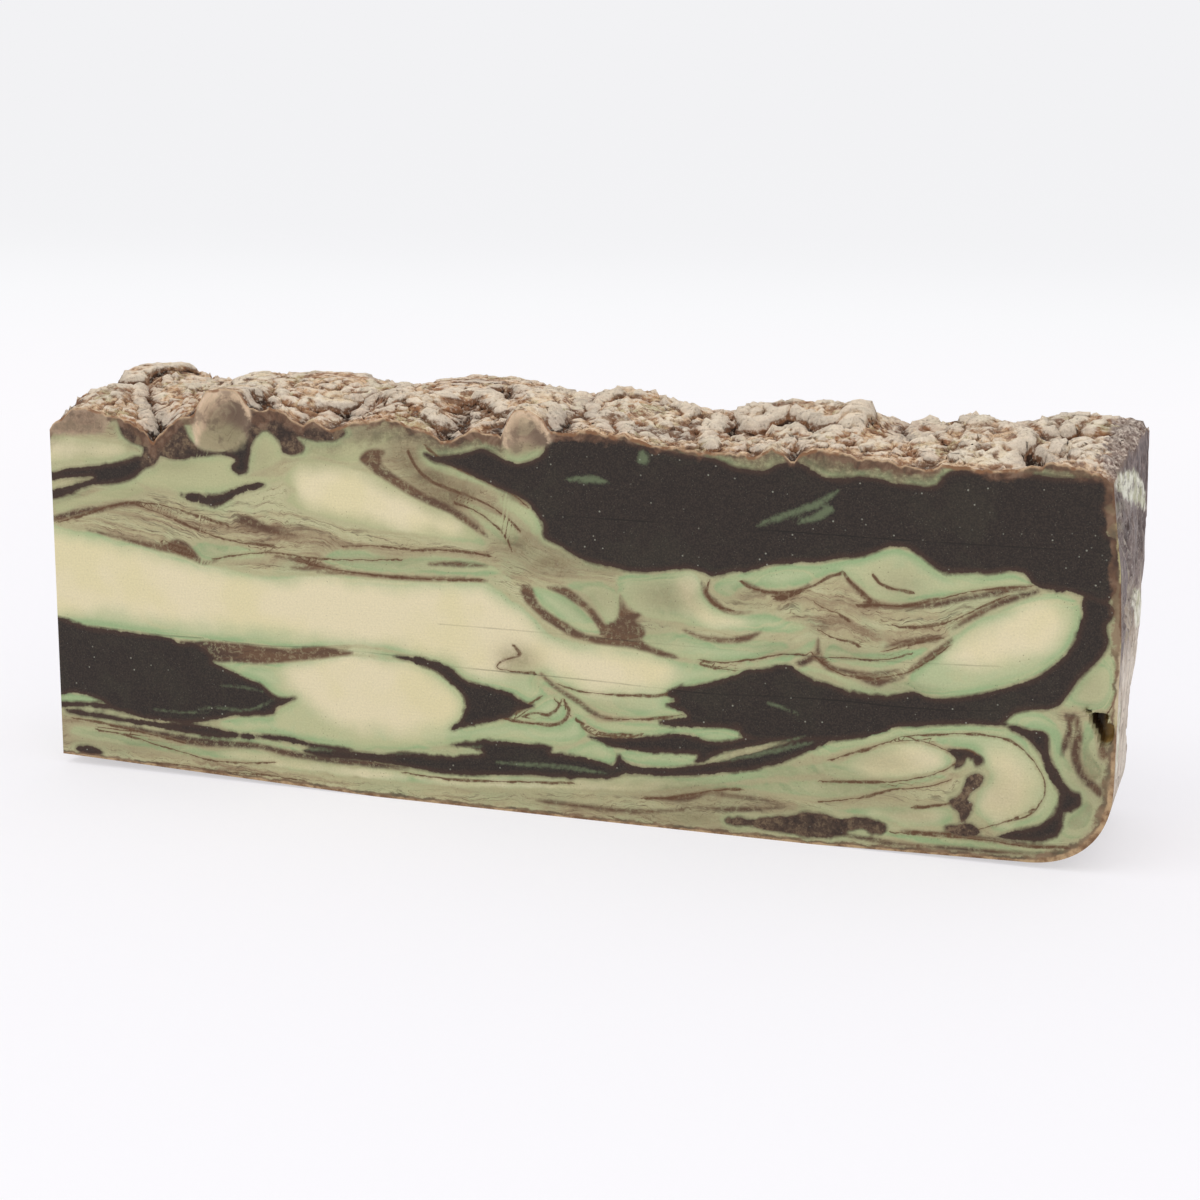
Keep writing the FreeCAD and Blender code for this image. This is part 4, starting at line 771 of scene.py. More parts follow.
def closed_curve(outline: Outline, steps: int = 5) -> np.ndarray:
    """Closed Catmull-Rom curve through an outline's points.

    Args:
        outline: The points, in order.
        steps: Curve points for each outline point.

    Returns:
        The curve's points, one to a row.
    """
    knot = np.asarray(outline, float)
    a, b, c, d = (np.roll(knot, shift, axis=0)[:, None, :] for shift in (1, 0, -1, -2))
    t = (np.arange(steps) / steps)[None, :, None]
    curve = b + 0.5 * t * (c - a) + t ** 2 * (a - 2.5 * b + 2 * c - 0.5 * d) + t ** 3 * (-0.5 * a + 1.5 * b
        - 1.5 * c + 0.5 * d)
    return curve.reshape(-1, 2)


def depth_inside(outline: Outline, across: np.ndarray, up: np.ndarray, far: float = 10.0) -> np.ndarray:
    """Depth of points inside a smooth closed outline, negative outside it.

    The depth is the distance to the nearest piece of the curve, signed by how many pieces a line
    from the point to the left crosses.

    Args:
        outline: The outline's points.
        across: First coordinate of each point.
        up: Second coordinate of each point.
        far: Limit of the distance outside.

    Returns:
        The depth of each point, in the outline's own units.
    """
    curve = closed_curve(outline)
    low, high = curve.min(axis=0) - far, curve.max(axis=0) + far
    depth = np.full(across.shape, -far)
    near = (across > low[0]) & (across < high[0]) & (up > low[1]) & (up < high[1])
    px, py = across[near], up[near]
    best = np.full(px.shape, far * far)
    inside = np.zeros(px.shape, bool)
    for (ax, ay), (bx, by) in zip(curve, np.roll(curve, -1, axis=0)):
        ex, ey = bx - ax, by - ay
        share = np.clip(((px - ax) * ex + (py - ay) * ey) / max(ex * ex + ey * ey, 1e-9), 0, 1)
        best = np.minimum(best, (px - ax - share * ex) ** 2 + (py - ay - share * ey) ** 2)
        if ay != by:
            inside ^= ((ay > py) != (by > py)) & (px < ax + (py - ay) * ex / ey)
    depth[near] = np.where(inside, 1, -1) * np.sqrt(best)
    return depth


def layer_depth(layer: Layer, across: np.ndarray, up: np.ndarray) -> np.ndarray:
    """Greatest depth inside any outline of a layer."""
    return np.maximum.reduce([depth_inside(outline, across, up) for outline in layer.values()])


def spots(ovals: tuple[tuple[float, ...], ...], across: np.ndarray, up: np.ndarray) -> np.ndarray:
    """Greatest of some soft ovals at each point: a bell in both directions, times the oval's amount.

    Args:
        ovals: Centre, reach along and up, and amount of each.
        across: Place of each point.
        up: Height of each point.

    Returns:
        The greatest amount at each point.
    """
    total = np.zeros_like(across)
    for cx, cz, along, high, amount in ovals:
        total = np.maximum(total, amount * np.exp(-((across - cx) / along) ** 2 - ((up - cz) / high) ** 2))
    return total


def nearest_thread(threads: Layer, across: np.ndarray, up: np.ndarray,
        far: float = 4.0) -> tuple[np.ndarray, np.ndarray]:
    """Distance to the nearest of some open threads.

    The signed distance is positive on the left of a thread's run and negative on its right, so that it
    passes through nought on the thread itself.

    Args:
        threads: The threads' points, from end to end.
        across: First coordinate of each point.
        up: Second coordinate of each point.
        far: Limit of the distance.

    Returns:
        The signed and the plain distance of each point.
    """
    plain = np.full(across.shape, far)
    signed = np.full(across.shape, far)
    for thread in threads.values():
        curve = closed_curve(((2 * thread[0][0] - thread[1][0], 2 * thread[0][1] - thread[1][1]), *thread,
            (2 * thread[-1][0] - thread[-2][0], 2 * thread[-1][1] - thread[-2][1])), 3)[3:-5]
        low, high = curve.min(axis=0) - far, curve.max(axis=0) + far
        near = np.flatnonzero((across > low[0]) & (across < high[0]) & (up > low[1]) & (up < high[1]))
        px, py = across[near], up[near]
        for (ax, ay), (bx, by) in zip(curve[:-1], curve[1:]):
            ex, ey = bx - ax, by - ay
            share = np.clip(((px - ax) * ex + (py - ay) * ey) / max(ex * ex + ey * ey, 1e-9), 0, 1)
            distance = np.hypot(px - ax - share * ex, py - ay - share * ey)
            closer = distance < plain[near]
            side = np.where(ex * (py - ay) - ey * (px - ax) < 0, -1.0, 1.0)
            plain[near] = np.where(closer, distance, plain[near])
            signed[near] = np.where(closer, distance * side, signed[near])
    return signed, plain


def ring_faces(rows: np.ndarray) -> np.ndarray:
    """Four-sided faces between neighbouring closed rings, one to a row, of their points' numbers."""
    turned = np.roll(rows, -1, axis=1)
    return stack(rows[:-1], rows[1:], turned[1:], turned[:-1]).reshape(-1, 4)


def new_object(name: str, points: np.ndarray, faces: list) -> bpy.types.Object:
    """Object of a new smooth-shaded mesh, linked to the scene at its origin.

    Args:
        name: Name of the object and its mesh.
        points: Its points, in metres.
        faces: Numbers of each face's points.

    Returns:
        The object.
    """
    mesh = bpy.data.meshes.new(name)
    mesh.from_pydata(points.tolist(), [], faces)
    mesh.polygons.foreach_set("use_smooth", np.ones(len(mesh.polygons), bool))
    made = bpy.data.objects.new(name, mesh)
    bpy.context.scene.collection.objects.link(made)
    return made


class Region(Enum):
    """Part of the loaf's skin, and the place of its finish among the loaf's materials."""

    CUT = 0
    CRUST = 1
    MOULDED = 2


@dataclass(frozen=True)
class Flow:
    """How soap streamed between the bodies of the cut face: a height that is level along the streaks.

    The height is held at each body and at the sole, the crust and the right end, and elsewhere it is
    the mean of its four neighbours, so that its level lines wrap round the bodies.
    """

    low: Point = (-6.0, -4.0)
    high: Point = (262.0, 98.0)
    crust_from: float = 90.0
    crust_level: float = 92.0
    end_from: float = 255.0
    end_top: float = 58.0
    end_level: float = 12.0
    dark_margin: float = 0.9
    pale_margin: float = 1.4
    rounds: int = 700
    pull: float = 1.9

    def solve(self) -> np.ndarray:
        """Works out the height on a grid of one point to the millimetre.

        Returns:
            The heights, by place along and then height up the loaf.
        """
        along = np.arange(self.low[0], self.high[0] + 1)
        up = np.arange(self.low[1], self.high[1] + 1)
        x, z = np.meshgrid(along, up, indexing="ij")
        level = z.copy()
        held = (z <= 0) | (z >= self.crust_from)
        level[z <= 0] = 0.0
        level[z >= self.crust_from] = self.crust_level
        column = (x >= self.end_from) & (z < self.end_top) & (z > 0)
        held |= column
        level[column] = self.end_level
        for layer, margin in ((DARK, self.dark_margin), (PALE, self.pale_margin)):
            for outline in layer.values():
                core = depth_inside(outline, x, z) > margin
                held |= core
                level[core] = np.mean([point[1] for point in outline])
        free = ~held
        colour = (np.indices(x.shape).sum(axis=0) % 2).astype(bool)
        for _ in range(self.rounds):
            for half in (colour, ~colour):
                pulled = level + self.pull * (neighbour_sum(level) / 4 - level)
                level = np.where(free & half, pulled, level)
        for _ in range(2):
            level = (neighbour_sum(level) + 4 * level) / 8
        return level

    def at(self, level: np.ndarray, x: np.ndarray, z: np.ndarray) -> np.ndarray:
        """Height at points between the grid's, straight in both directions.

        Args:
            level: The grid that solve() gives.
            x: Place of each point along the loaf.
            z: Height of each point.

        Returns:
            The height of the flow at each point.
        """
        gx = np.clip(x - self.low[0], 0, level.shape[0] - 1.001)
        gz = np.clip(z - self.low[1], 0, level.shape[1] - 1.001)
        i, k = gx.astype(int), gz.astype(int)
        fx, fz = gx - i, gz - k
        lower = level[i, k] * (1 - fx) + level[i + 1, k] * fx
        upper = level[i, k + 1] * (1 - fx) + level[i + 1, k + 1] * fx
        return lower * (1 - fz) + upper * fz


@dataclass(frozen=True)
class SpoonedTop:
    """The rumpled top: its height and sideways shift over any point of the footprint, in millimetres."""

    length: float
    depth: float
    fade: float = 8.0
    crown_start: float = 12.0
    bulge: float = 0.9
    ceiling: float = 95.2
    easing: float = 1.5
    close_rounds: int = 10
    wide_rounds: int = 60

    def broad(self, x: np.ndarray, inset: np.ndarray) -> np.ndarray:
        """Height of the broad shape: the crest's line at the cut face gives way to the crown, and the
        folds are bell-shaped ridges and hollows on it.

        Args:
            x: Place of each point along the loaf.
            inset: Distance of each point behind the cut face.

        Returns:
            The height of each point.
        """
        crown = np.interp(x / self.length, *np.transpose(CROWN)) * (1 - bell(inset, self.crown_start))
        crest = (np.interp(x, *np.transpose(CREST)) - CREST_HEIGHT) * bell(inset, self.fade)
        folds = np.zeros_like(x)
        for place, across, rise, reach_along, reach_across, turn in FOLDS:
            dx, dy = x - place * self.length, inset - across * self.depth
            cosine, sine = math.cos(math.radians(turn)), math.sin(math.radians(turn))
            u, v = (dx * cosine + dy * sine) / reach_along, (dy * cosine - dx * sine) / reach_across
            folds += rise * np.exp(-(u * u + v * v))
        return CREST_HEIGHT + crown + crest + folds

    def detail(self, x: np.ndarray, inset: np.ndarray) -> tuple[np.ndarray, ...]:
        """Height of plates, crevices, rosettes, wrinkles and crumbs above the broad shape, with the
        marks that colour follows.

        A rosette is a saw-toothed spiral: each turn climbs slowly outwards and drops at its lip. The
        wrinkles between rosettes are the same saw-tooth over a bent noise. Crumbs are coarse noise
        where a slower noise is high.

        Args:
            x: Place of each point along the loaf.
            inset: Distance of each point behind the cut face.

        Returns:
            Height of the detail, tone of the plates, closeness to a lip, and count of the turns.
        """
        flat = stack(x, inset, 0.0)
        bend_x = layered_noise(flat / 9 + 5.3, 11) * 2.6
        bend_y = layered_noise(flat / 9 + 9.1, 12) * 2.6
        bx, by = x + bend_x, inset + bend_y
        near_x, near_y = x + 0.3 * bend_x, inset + 0.3 * bend_y
        height, tone, lip = np.zeros_like(x), np.zeros_like(x), np.zeros_like(x)
        for outline, rise, edge, shade in PLATES:
            depth = depth_inside(outline, near_x, near_y)
            height += rise * smooth(depth, -edge, edge)
            tone += (shade - tone) * smooth(depth, -0.5, 0.7)
            lip = np.maximum(lip * (1 - smooth(depth, 0.6, 1.6)),
                min(rise, 1.6) / 1.6 * bell(depth - 0.5, 0.8))
        turned, cover = np.zeros_like(x), np.zeros_like(x)
        turns = layered_noise(stack(bx, by, 0.0) / 15 + 2.7, 21, 2) * 3.4 + bx * 0.02
        for cx, cy, radius, pitch, rim in ROSETTES:
            dx, dy = bx - cx, by - cy
            phase = np.hypot(dx, dy) / pitch + np.arctan2(dy, dx) / (2 * math.pi)
            weight = 1 - smooth(np.hypot(x - cx, inset - cy), radius * 0.7, radius)
            part = phase - np.floor(phase)
            tooth = part**1.6 * (1 - smooth(part, 0.80, 1.0)) * 1.25
            turned = np.where(weight > cover, rim * weight * tooth, turned)
            turns = np.where(weight > np.maximum(cover, 0.35), phase, turns)
            cover = np.maximum(cover, weight)
        part = turns - np.floor(turns)
        tooth = part**1.5 * (1 - smooth(part, 0.82, 1.0)) * 1.2
        height += turned + (1 - cover) * tooth * 0.8
        for outline, deep in CREVICES:
            height -= deep * smooth(depth_inside(outline, near_x, near_y), -0.7, 0.9)
        crumbly = smooth(layered_noise(flat / 13 + 1.9, 51, 2), 0.02, 0.30)
        crumbs = layered_noise(flat / 1.9, 41, 2)
        pillows = layered_noise(flat / 6.5 + 3.3, 43, 2)
        seams = np.abs(layered_noise(stack(bx / 6.5, by / 6.5, 4.1), 45, 2))
        flakes = np.abs(layered_noise(flat / 3.4 + 8.2, 47, 2))
        height += 0.95 * (1 - smooth(seams, 0.0, 0.16)) - 0.8 * (1 - smooth(flakes, 0.0, 0.08)) * crumbly
        height = height + (0.05 + 0.46 * crumbly) * crumbs + 0.22 * pillows - 0.30
        return height, tone, lip, turns

    def surface(self, x: np.ndarray, inset: np.ndarray, room: np.ndarray) -> tuple[np.ndarray, ...]:
        """The top's points: height, and a shift down the detail's slope that makes lumps bulge.

        Args:
            x: Place of each point along the loaf, rows along it and columns across it.
            inset: Distance of each point behind the cut face.
            room: 0 where a point must stay put, at the rim, to 1 where it may shift.

        Returns:
            Height, shift along the loaf, shift across it, relief (the detail's height above its
            surroundings), tone of the plates, closeness to a lip, count of the turns, stand (the
            height above wider surroundings) and slope.
        """
        broad = self.broad(x, inset)
        to_end = np.clip(self.length - x, 0, None)
        # Wear of the top's edge at the right end: how far it is rounded down, varying across the loaf.
        wear_and_relief_shading = 0.6 + 0.4 * layered_noise(stack(0.0, inset / 5, 0.0), 35, 2)
        broad = broad - 1.9 * (1 - smooth(to_end, 0.0, 3.6)) ** 2 * wear_and_relief_shading
        calm = 0.25 + 0.75 * smooth(inset, 0.2, 3.0)
        scallops = 1.1 * np.abs(layered_noise(stack(x / 4.4, inset / 7, 0.0) + 6.1, 31, 3)) - 0.3
        broad = broad + scallops * bell(inset, 3.0)
        detail, tone, lip, turns = self.detail(x, inset)
        detail = detail * calm
        along, across = steepness(detail, x, 0), steepness(detail, inset, 1)
        steep = np.maximum(np.hypot(along, across), 1e-6)
        shift = self.bulge * np.minimum(steep, 1.6) / steep * room
        relief = detail - blurred(detail, self.close_rounds)
        height = broad + detail
        surroundings = blurred(height, self.wide_rounds)
        pitch_x, pitch_y = steepness(height, x, 0), steepness(height, inset, 1)
        slope = np.maximum(np.hypot(pitch_x, np.maximum(pitch_y, 0)), 0.35 * np.abs(pitch_y))
        over = height - (self.ceiling - self.easing)
        eased = self.ceiling - self.easing + self.easing * (1 - np.exp(-over / self.easing))
        height = np.where(over > 0, eased, height)
        stand = height - surroundings
        return height, -along * shift, -across * shift, relief, tone, lip, turns, stand, slope


@dataclass
class SoapLoaf:
    """The loaf's skin: where every point of the swept rings lies, and what soap it is made of."""

    left: float
    right: float
    cut: float
    back: float
    left_lift: float = 2.4
    left_lift_run: float = 85.0
    right_lift: float = 1.2
    right_lift_run: float = 46.0
    toe: float = 19.0
    toe_power: float = 2.35
    left_lean: float = 1.0
    lean_at_cut: Curve = ((0, 52, 66, 78, 90), (0, 0, 0.8, 2.4, 3.8))
    lean_at_back: Curve = ((0, 5, 10, 15, 22, 31, 37, 46, 58, 62),
        (0, 0, 0.8, 2.1, 2.7, 2.4, 1.4, 0.7, 0.3, 0))
    lean_fade: float = 24.0
    mould_edge: float = 9.0
    stations: int = 276
    toe_stations: int = 32
    front_points: int = 146
    top_points: int = 84
    back_points: int = 44
    sole_points: int = 16
    left_rings: int = 14
    right_rings: int = 18
    pocket: Outline = ((247.7, 36.5), (248.8, 36.2), (249.7, 35.3), (252.4, 35.2), (253.1, 34.8),
        (252.8, 33.6), (253.3, 33.2), (254.2, 32.8), (254.3, 30.3), (253.7, 29.2), (252.2, 28.7),
        (251.6, 29.4), (251.1, 31.0), (249.8, 33.1), (249.4, 35.0), (248.6, 35.7))
    pocket_depth: float = 5.0
    wander_depth: float = 26.0
    wander_size: float = 42.0
    wander_along: float = 26.0
    wander_up: float = 15.0
    turn_place: float = 256.0
    turn_height: float = 88.0
    sole_rim: float = 80.0
    sharp_angle: float = 62.0
    flow: Flow = field(default_factory=Flow)

    @property
    def toe_centre(self) -> Point:
        """Centre of the round toe, along the loaf and up it."""
        return self.right - self.toe, self.right_lift + self.toe

    def sole(self, x: np.ndarray) -> np.ndarray:
        """Height of the sole: level in the middle, straight lifts towards both ends, then the round toe.

        Args:
            x: Place of each point along the loaf.

        Returns:
            The height of the sole there.
        """
        start = self.right - self.toe
        lift = np.interp(x, [self.left, self.left + self.left_lift_run, start - self.right_lift_run, start,
            self.right], [self.left_lift, 0.0, 0.0, self.right_lift, self.right_lift])
        past = np.clip(x - start, 0, self.toe)
        return lift + self.toe - np.sqrt(self.toe**2 - past**2)

    def rings(self) -> tuple[np.ndarray, dict[str, np.ndarray]]:
        """The swept rings of a loaf with sharp edges and upright ends.

        Returns:
            The points by station and place in the ring, in millimetres, and by name the top's marks
            (relief, tone, lip, turns, stand and slope) and rim, the height below the top.
        """
        straight = np.linspace(self.left, self.right - self.toe, self.stations, endpoint=False)
        turn = np.linspace(0, math.pi / 2, self.toe_stations)
        x = np.concatenate([straight, self.right - self.toe + self.toe * np.sin(turn)])
        top = SpoonedTop(self.right - self.left, self.back - self.cut)
        share = np.linspace(0, 1, self.top_points) ** 1.1
        inset = share * (self.back - self.cut)
        grid_x, grid_inset = np.meshgrid(x - self.left, inset, indexing="ij")
        ends = np.minimum(grid_x, self.right - self.left - grid_x)
        rim = np.minimum(grid_inset, self.back - self.cut - grid_inset)
        room = smooth(ends, 0.0, 4.0) * smooth(rim, 0.3, 3.0)
        height, shift_x, shift_y, *marks = top.surface(grid_x, grid_inset, room)
        sole = self.sole(x)
        count = self.front_points + self.top_points + self.back_points + self.sole_points
        points = np.zeros((x.size, count, 3))
        points[..., 0] = x[:, None]
        given = {name: np.zeros((x.size, count)) for name in ("relief", "tone", "lip", "turns", "stand",
            "slope")}
        below = np.zeros((x.size, count))
        first, second, third = np.cumsum([self.front_points, self.top_points, self.back_points])
        front = np.linspace(0, 1, self.front_points, endpoint=False)
        points[:, :first, 1] = self.cut
        points[:, :first, 2] = sole[:, None] + front * (height[:, :1] - sole[:, None])
        below[:, :first] = (1 - front) * (height[:, :1] - sole[:, None])
        points[:, first:second, 0] += shift_x
        points[:, first:second, 1] = self.cut + grid_inset + shift_y
        points[:, first:second, 2] = height
        for name, mark in zip(given, marks):
            given[name][:, first:second] = mark
        down = np.linspace(0, 1, self.back_points + 1)[1:]
        points[:, second:third, 1] = self.back
        points[:, second:third, 2] = height[:, -1:] + down * (sole[:, None] - height[:, -1:])
        below[:, second:third] = down * (height[:, -1:] - sole[:, None])
        home = np.linspace(0, 1, self.sole_points + 2)[1:-1]
        points[:, third:, 1] = self.back + home * (self.cut - self.back)
        points[:, third:, 2] = sole[:, None]
        below[:, third:] = self.sole_rim
        return points, {**given, "rim": below}

    def close_end(self, ring: np.ndarray, count: int) -> np.ndarray:
        """Rings that shrink from an end's rim to its middle.

        Args:
            ring: The rim's points.
            count: How many rings, the last of which is the pole, a single point.

        Returns:
            The points of the rings, without the rim and with the pole last.
        """
        middle = (ring.min(axis=0) + ring.max(axis=0)) / 2
        share = (1 - np.arange(1, count) / count)[:, None, None]
        inner = middle + (ring[None] - middle) * share
        return np.concatenate([inner.reshape(-1, 3), middle[None]])

    def round_edges(self, points: np.ndarray) -> np.ndarray:
        """Rounds the edge between the back and the sole, toe and right end.

        In the corner a point's distances from the two faces are moved, straight out from the middle
        of the rounding, onto its circle.

        Args:
            points: Points on the sharp-edged skin.

        Returns:
            The points, moved onto the rounding.
        """
        x, y, z = points.T
        centre_x, centre_z = self.toe_centre
        in_toe = (x > centre_x) & (z < centre_z)
        reach = np.hypot(x - centre_x, z - centre_z)
        from_sole = np.where(in_toe, self.toe - reach, np.where(x > centre_x, self.right - x,
            z - self.sole(np.minimum(x, centre_x))))
        above_toe = (x > centre_x) & ~in_toe
        inward_x = np.where(in_toe, -(x - centre_x) / np.maximum(reach, 1e-06),
            np.where(above_toe, -1.0, 0.0))
        inward_z = np.where(in_toe, -(z - centre_z) / np.maximum(reach, 1e-06),
            np.where(above_toe, 0.0, 1.0))
        from_back = self.back - y
        r = self.mould_edge
        corner = (from_sole < r) & (from_back < r) & (from_sole > -1e-3) & (from_back > -1e-3)
        span = np.maximum(np.hypot(r - from_sole, r - from_back), 1e-6)
        largest = np.maximum(r - from_sole, r - from_back)
        scale = np.where(corner, largest / span, 1.0)
        move_sole = np.where(corner, (r - from_sole) * (1 - scale), 0.0)
        move_back = np.where(corner, (r - from_back) * (1 - scale), 0.0)
        return stack(x + inward_x * move_sole, y - move_back, z + inward_z * move_sole)

    def square_toe(self, points: np.ndarray) -> np.ndarray:
        """Fills the round toe out a little: its circle about the toe's centre becomes a superellipse.

        Args:
            points: Points of the skin.

        Returns:
            The points, moved out in the toe.
        """
        x, y, z = points.T
        dx, dz = (x - self.right + self.toe) / self.toe, (self.right_lift + self.toe - z) / self.toe
        in_toe = (dx > 0) & (dz > 0)
        span = np.maximum(np.hypot(dx, dz), 1e-6)
        power = self.toe_power
        fuller = ((np.abs(dx) / span) ** power + (np.abs(dz) / span) ** power) ** (-1 / power)
        scale = np.where(in_toe, fuller, 1.0)
        return stack(self.right - self.toe + dx * scale * self.toe, y,
            self.right_lift + self.toe - dz * scale * self.toe)

    def lean_ends(self, points: np.ndarray) -> np.ndarray:
        """Leans the ends in, most at the very end and not at all further in than lean_fade.

        The right end is twisted: at the cut face it leans in near the top, and at the back near the
        foot. In between the two amounts mix by distance behind the cut face.

        Args:
            points: Points of the skin.

        Returns:
            The points, moved in at the ends.
        """
        x, y, z = points.T
        left = self.left_lean * np.clip((z - self.left_lift) / (CREST_HEIGHT - self.left_lift), 0, 1.2)
        share = np.clip((y - self.cut) / (self.back - self.cut), 0, 1) ** 1.2
        right = (1 - share) * np.interp(z, *self.lean_at_cut) + share * np.interp(z, *self.lean_at_back)
        near_left = 1 - smooth(x - self.left, 0, self.lean_fade)
        near_right = 1 - smooth(self.right - x, 0, self.lean_fade)
        return stack(x + left * near_left - right * near_right, y, z)

    def mark_mould(self, points: np.ndarray) -> np.ndarray:
        """Presses the liner's folds into the right end, and wrinkles and dents into the moulded skin.

        A pleat is a groove whose depth falls off as a bell with distance from its line, with one side
        of it a step lower. The rest is layered noise along the inward normal.

        Args:
            points: Points of the skin.

        Returns:
            The points, moved inwards by at most about a millimetre.
        """
        x, y, z = points.T
        on_end = smooth(x, self.right - 5.5, self.right - 2.5)
        side, near = nearest_thread(PLEATS, np.where(on_end > 0, y - self.cut, AWAY), z)
        depth = 1.5 * bell(near, 0.9) + 0.5 * smooth(side, 0.0, 1.0) * (1 - smooth(near, 1.5, 3.5))
        crease = np.abs(layered_noise(stack(x / 9, y / 4.5, z / 17), 61, 3))
        depth += 0.6 * (1 - smooth(crease, 0.0, 0.12))
        end_room = on_end * smooth(y - self.cut, 0.4, 2.5)
        back_room = smooth(y, self.back - 0.8, self.back - 0.1) * smooth(z, 1.0, 6.0)
        back_crease = np.abs(layered_noise(stack(x / 34, y / 9, z / 14), 71, 3))
        dimples = (0.5 + 0.5 * layered_noise(points / 6.0, 75, 2)).clip(0, 1)
        dent = 0.7 * (1 - smooth(back_crease, 0.0, 0.10)) + 0.35 * dimples
        return stack(x - depth * end_room, y - dent * back_room, z)

    def open_pocket(self, points: np.ndarray) -> np.ndarray:
        """Sinks the air pocket into the cut face.

        Args:
            points: Points of the skin.

        Returns:
            The points, sunk inside the pocket's outline.
        """
        x, y, z = points.T
        sink = smooth(depth_inside(self.pocket, x - self.left, z), -0.2, 0.4) * self.pocket_depth
        return stack(x, np.where(y < self.cut + TOUCHING, y + sink, y), z)

    def from_mould(self, points: np.ndarray) -> np.ndarray:
        """Distance of points on the cut face from the mould: from the sole, the toe or the right end.

        Args:
            points: Points on the sharp-edged skin.

        Returns:
            The distance of each, in millimetres, and more than true where the rim is thin: at the sole.
        """
        x, _, z = points.T
        centre_x, centre_z = self.toe_centre
        in_toe = (x > centre_x) & (z < centre_z)
        reach = np.hypot(x - centre_x, z - centre_z)
        away = np.where(in_toe, self.toe - reach, np.minimum(self.right - x,
            z - self.sole(np.minimum(x, centre_x))))
        return away * (1 + 1.2 * (1 - smooth(x, centre_x - 8, centre_x + 8)))

    def marbling(self, points: np.ndarray) -> dict[str, np.ndarray]:
        """What soap each point is made of.

        Behind the cut face the layout is read at a place that wanders off with depth, by layered
        noise, as the swirls do inside a poured loaf. A place that would lie past the layout's end or
        top is turned back into it.

        Args:
            points: Points of the skin.

        Returns:
            By name: depth inside each layer of soap and inside the pocket, side of and distance from
            the nearest thread, drag line and pleat, amounts of the veil's two stains, and flow.
        """
        x, y, z = points.T
        on_cut, at_front = y < self.cut + TOUCHING, y < self.cut + 1.0
        behind = 1 - np.exp(-(y - self.cut) / self.wander_depth)
        wander_x, wander_z = (layered_noise(points / self.wander_size + shift, 81 + shift, 2)
            for shift in (0, 1))
        place = np.abs(x - self.left + self.wander_along * behind * wander_x)
        turn = self.turn_place - 4 * smooth(behind, 0.02, 0.2)
        place = turn - np.abs(turn - place)
        rise = np.abs(z + self.wander_up * behind * wander_z)
        rise = np.where(behind > 0.02, self.turn_height - np.abs(self.turn_height - rise), rise)
        layers = {"dark": DARK, "brown": BROWN, "pale": PALE, "cream": CREAM, "wisp": WISP,
            "rolled": ROLLED}
        fields = {name: layer_depth(layer, place, rise) for name, layer in layers.items()}
        fields["rolled"] = np.where(at_front, fields["rolled"], OUTSIDE)
        fields["veil"], fields["murk"] = spots(VEIL_BROWN, place, rise), spots(MURK, place, rise)
        fields["thread"], fields["near"] = nearest_thread(THREADS, place, rise)
        fields["drag"], fields["drag_near"] = nearest_thread(DRAGS, x - self.left,
            np.where(at_front, z, AWAY))
        thinned = 1.2 * smooth(behind, 0.02, 0.10) * (x < self.left + 1.3)
        fields["dark"] -= thinned
        fields["brown"] -= thinned
        fields["near"] += 2 * thinned
        inset = np.where(x > self.right - 14, y - self.cut, AWAY)
        fields["mauve"], fields["mint"] = layer_depth(END_MAUVE, inset, z), layer_depth(END_MINT, inset, z)
        fields["pleat"], fields["pleat_near"] = nearest_thread(PLEATS, inset, z)
        fields["flow"] = self.flow.at(self.flow.solve(), place, rise)
        fields["pocket"] = np.where(on_cut, depth_inside(self.pocket, x - self.left, z), OUTSIDE)
        return fields

    def faces(self, stations: int, around: int) -> tuple[list, np.ndarray]:
        """Faces of the swept skin and the two ends, turned outwards.

        Args:
            stations: How many rings the swept skin has.
            around: How many points each ring has.

        Returns:
            The faces by their points' numbers, four-sided ones first, and the region of each.
        """
        index = np.arange(stations * around).reshape(stations, around)
        region = np.full(around, Region.MOULDED.value)
        region[:self.front_points] = Region.CUT.value
        region[self.front_points:self.front_points + self.top_points - 1] = Region.CRUST.value
        quads, regions = [ring_faces(index)], [np.tile(region, stations - 1)]
        fans, fan_regions = [], []
        offset = index.size
        ends = ((0, self.left_rings, Region.CUT, -1), (stations - 1, self.right_rings, Region.MOULDED, 1))
        for row, count, kind, way in ends:
            inner = offset + np.arange((count - 1) * around).reshape(count - 1, around)
            rows = np.concatenate([index[row:row + 1], inner])
            pole = offset + inner.size
            quads.append(ring_faces(rows)[:, ::way])
            fans.append(stack(rows[-1], pole, np.roll(rows[-1], -1))[:, ::way])
            regions.append(np.full(len(quads[-1]), kind.value))
            fan_regions.append(np.full(around, kind.value))
            offset = pole + 1
        every = np.concatenate(quads).tolist() + np.concatenate(fans).tolist()
        return every, np.concatenate(regions + fan_regions).astype(np.int32)

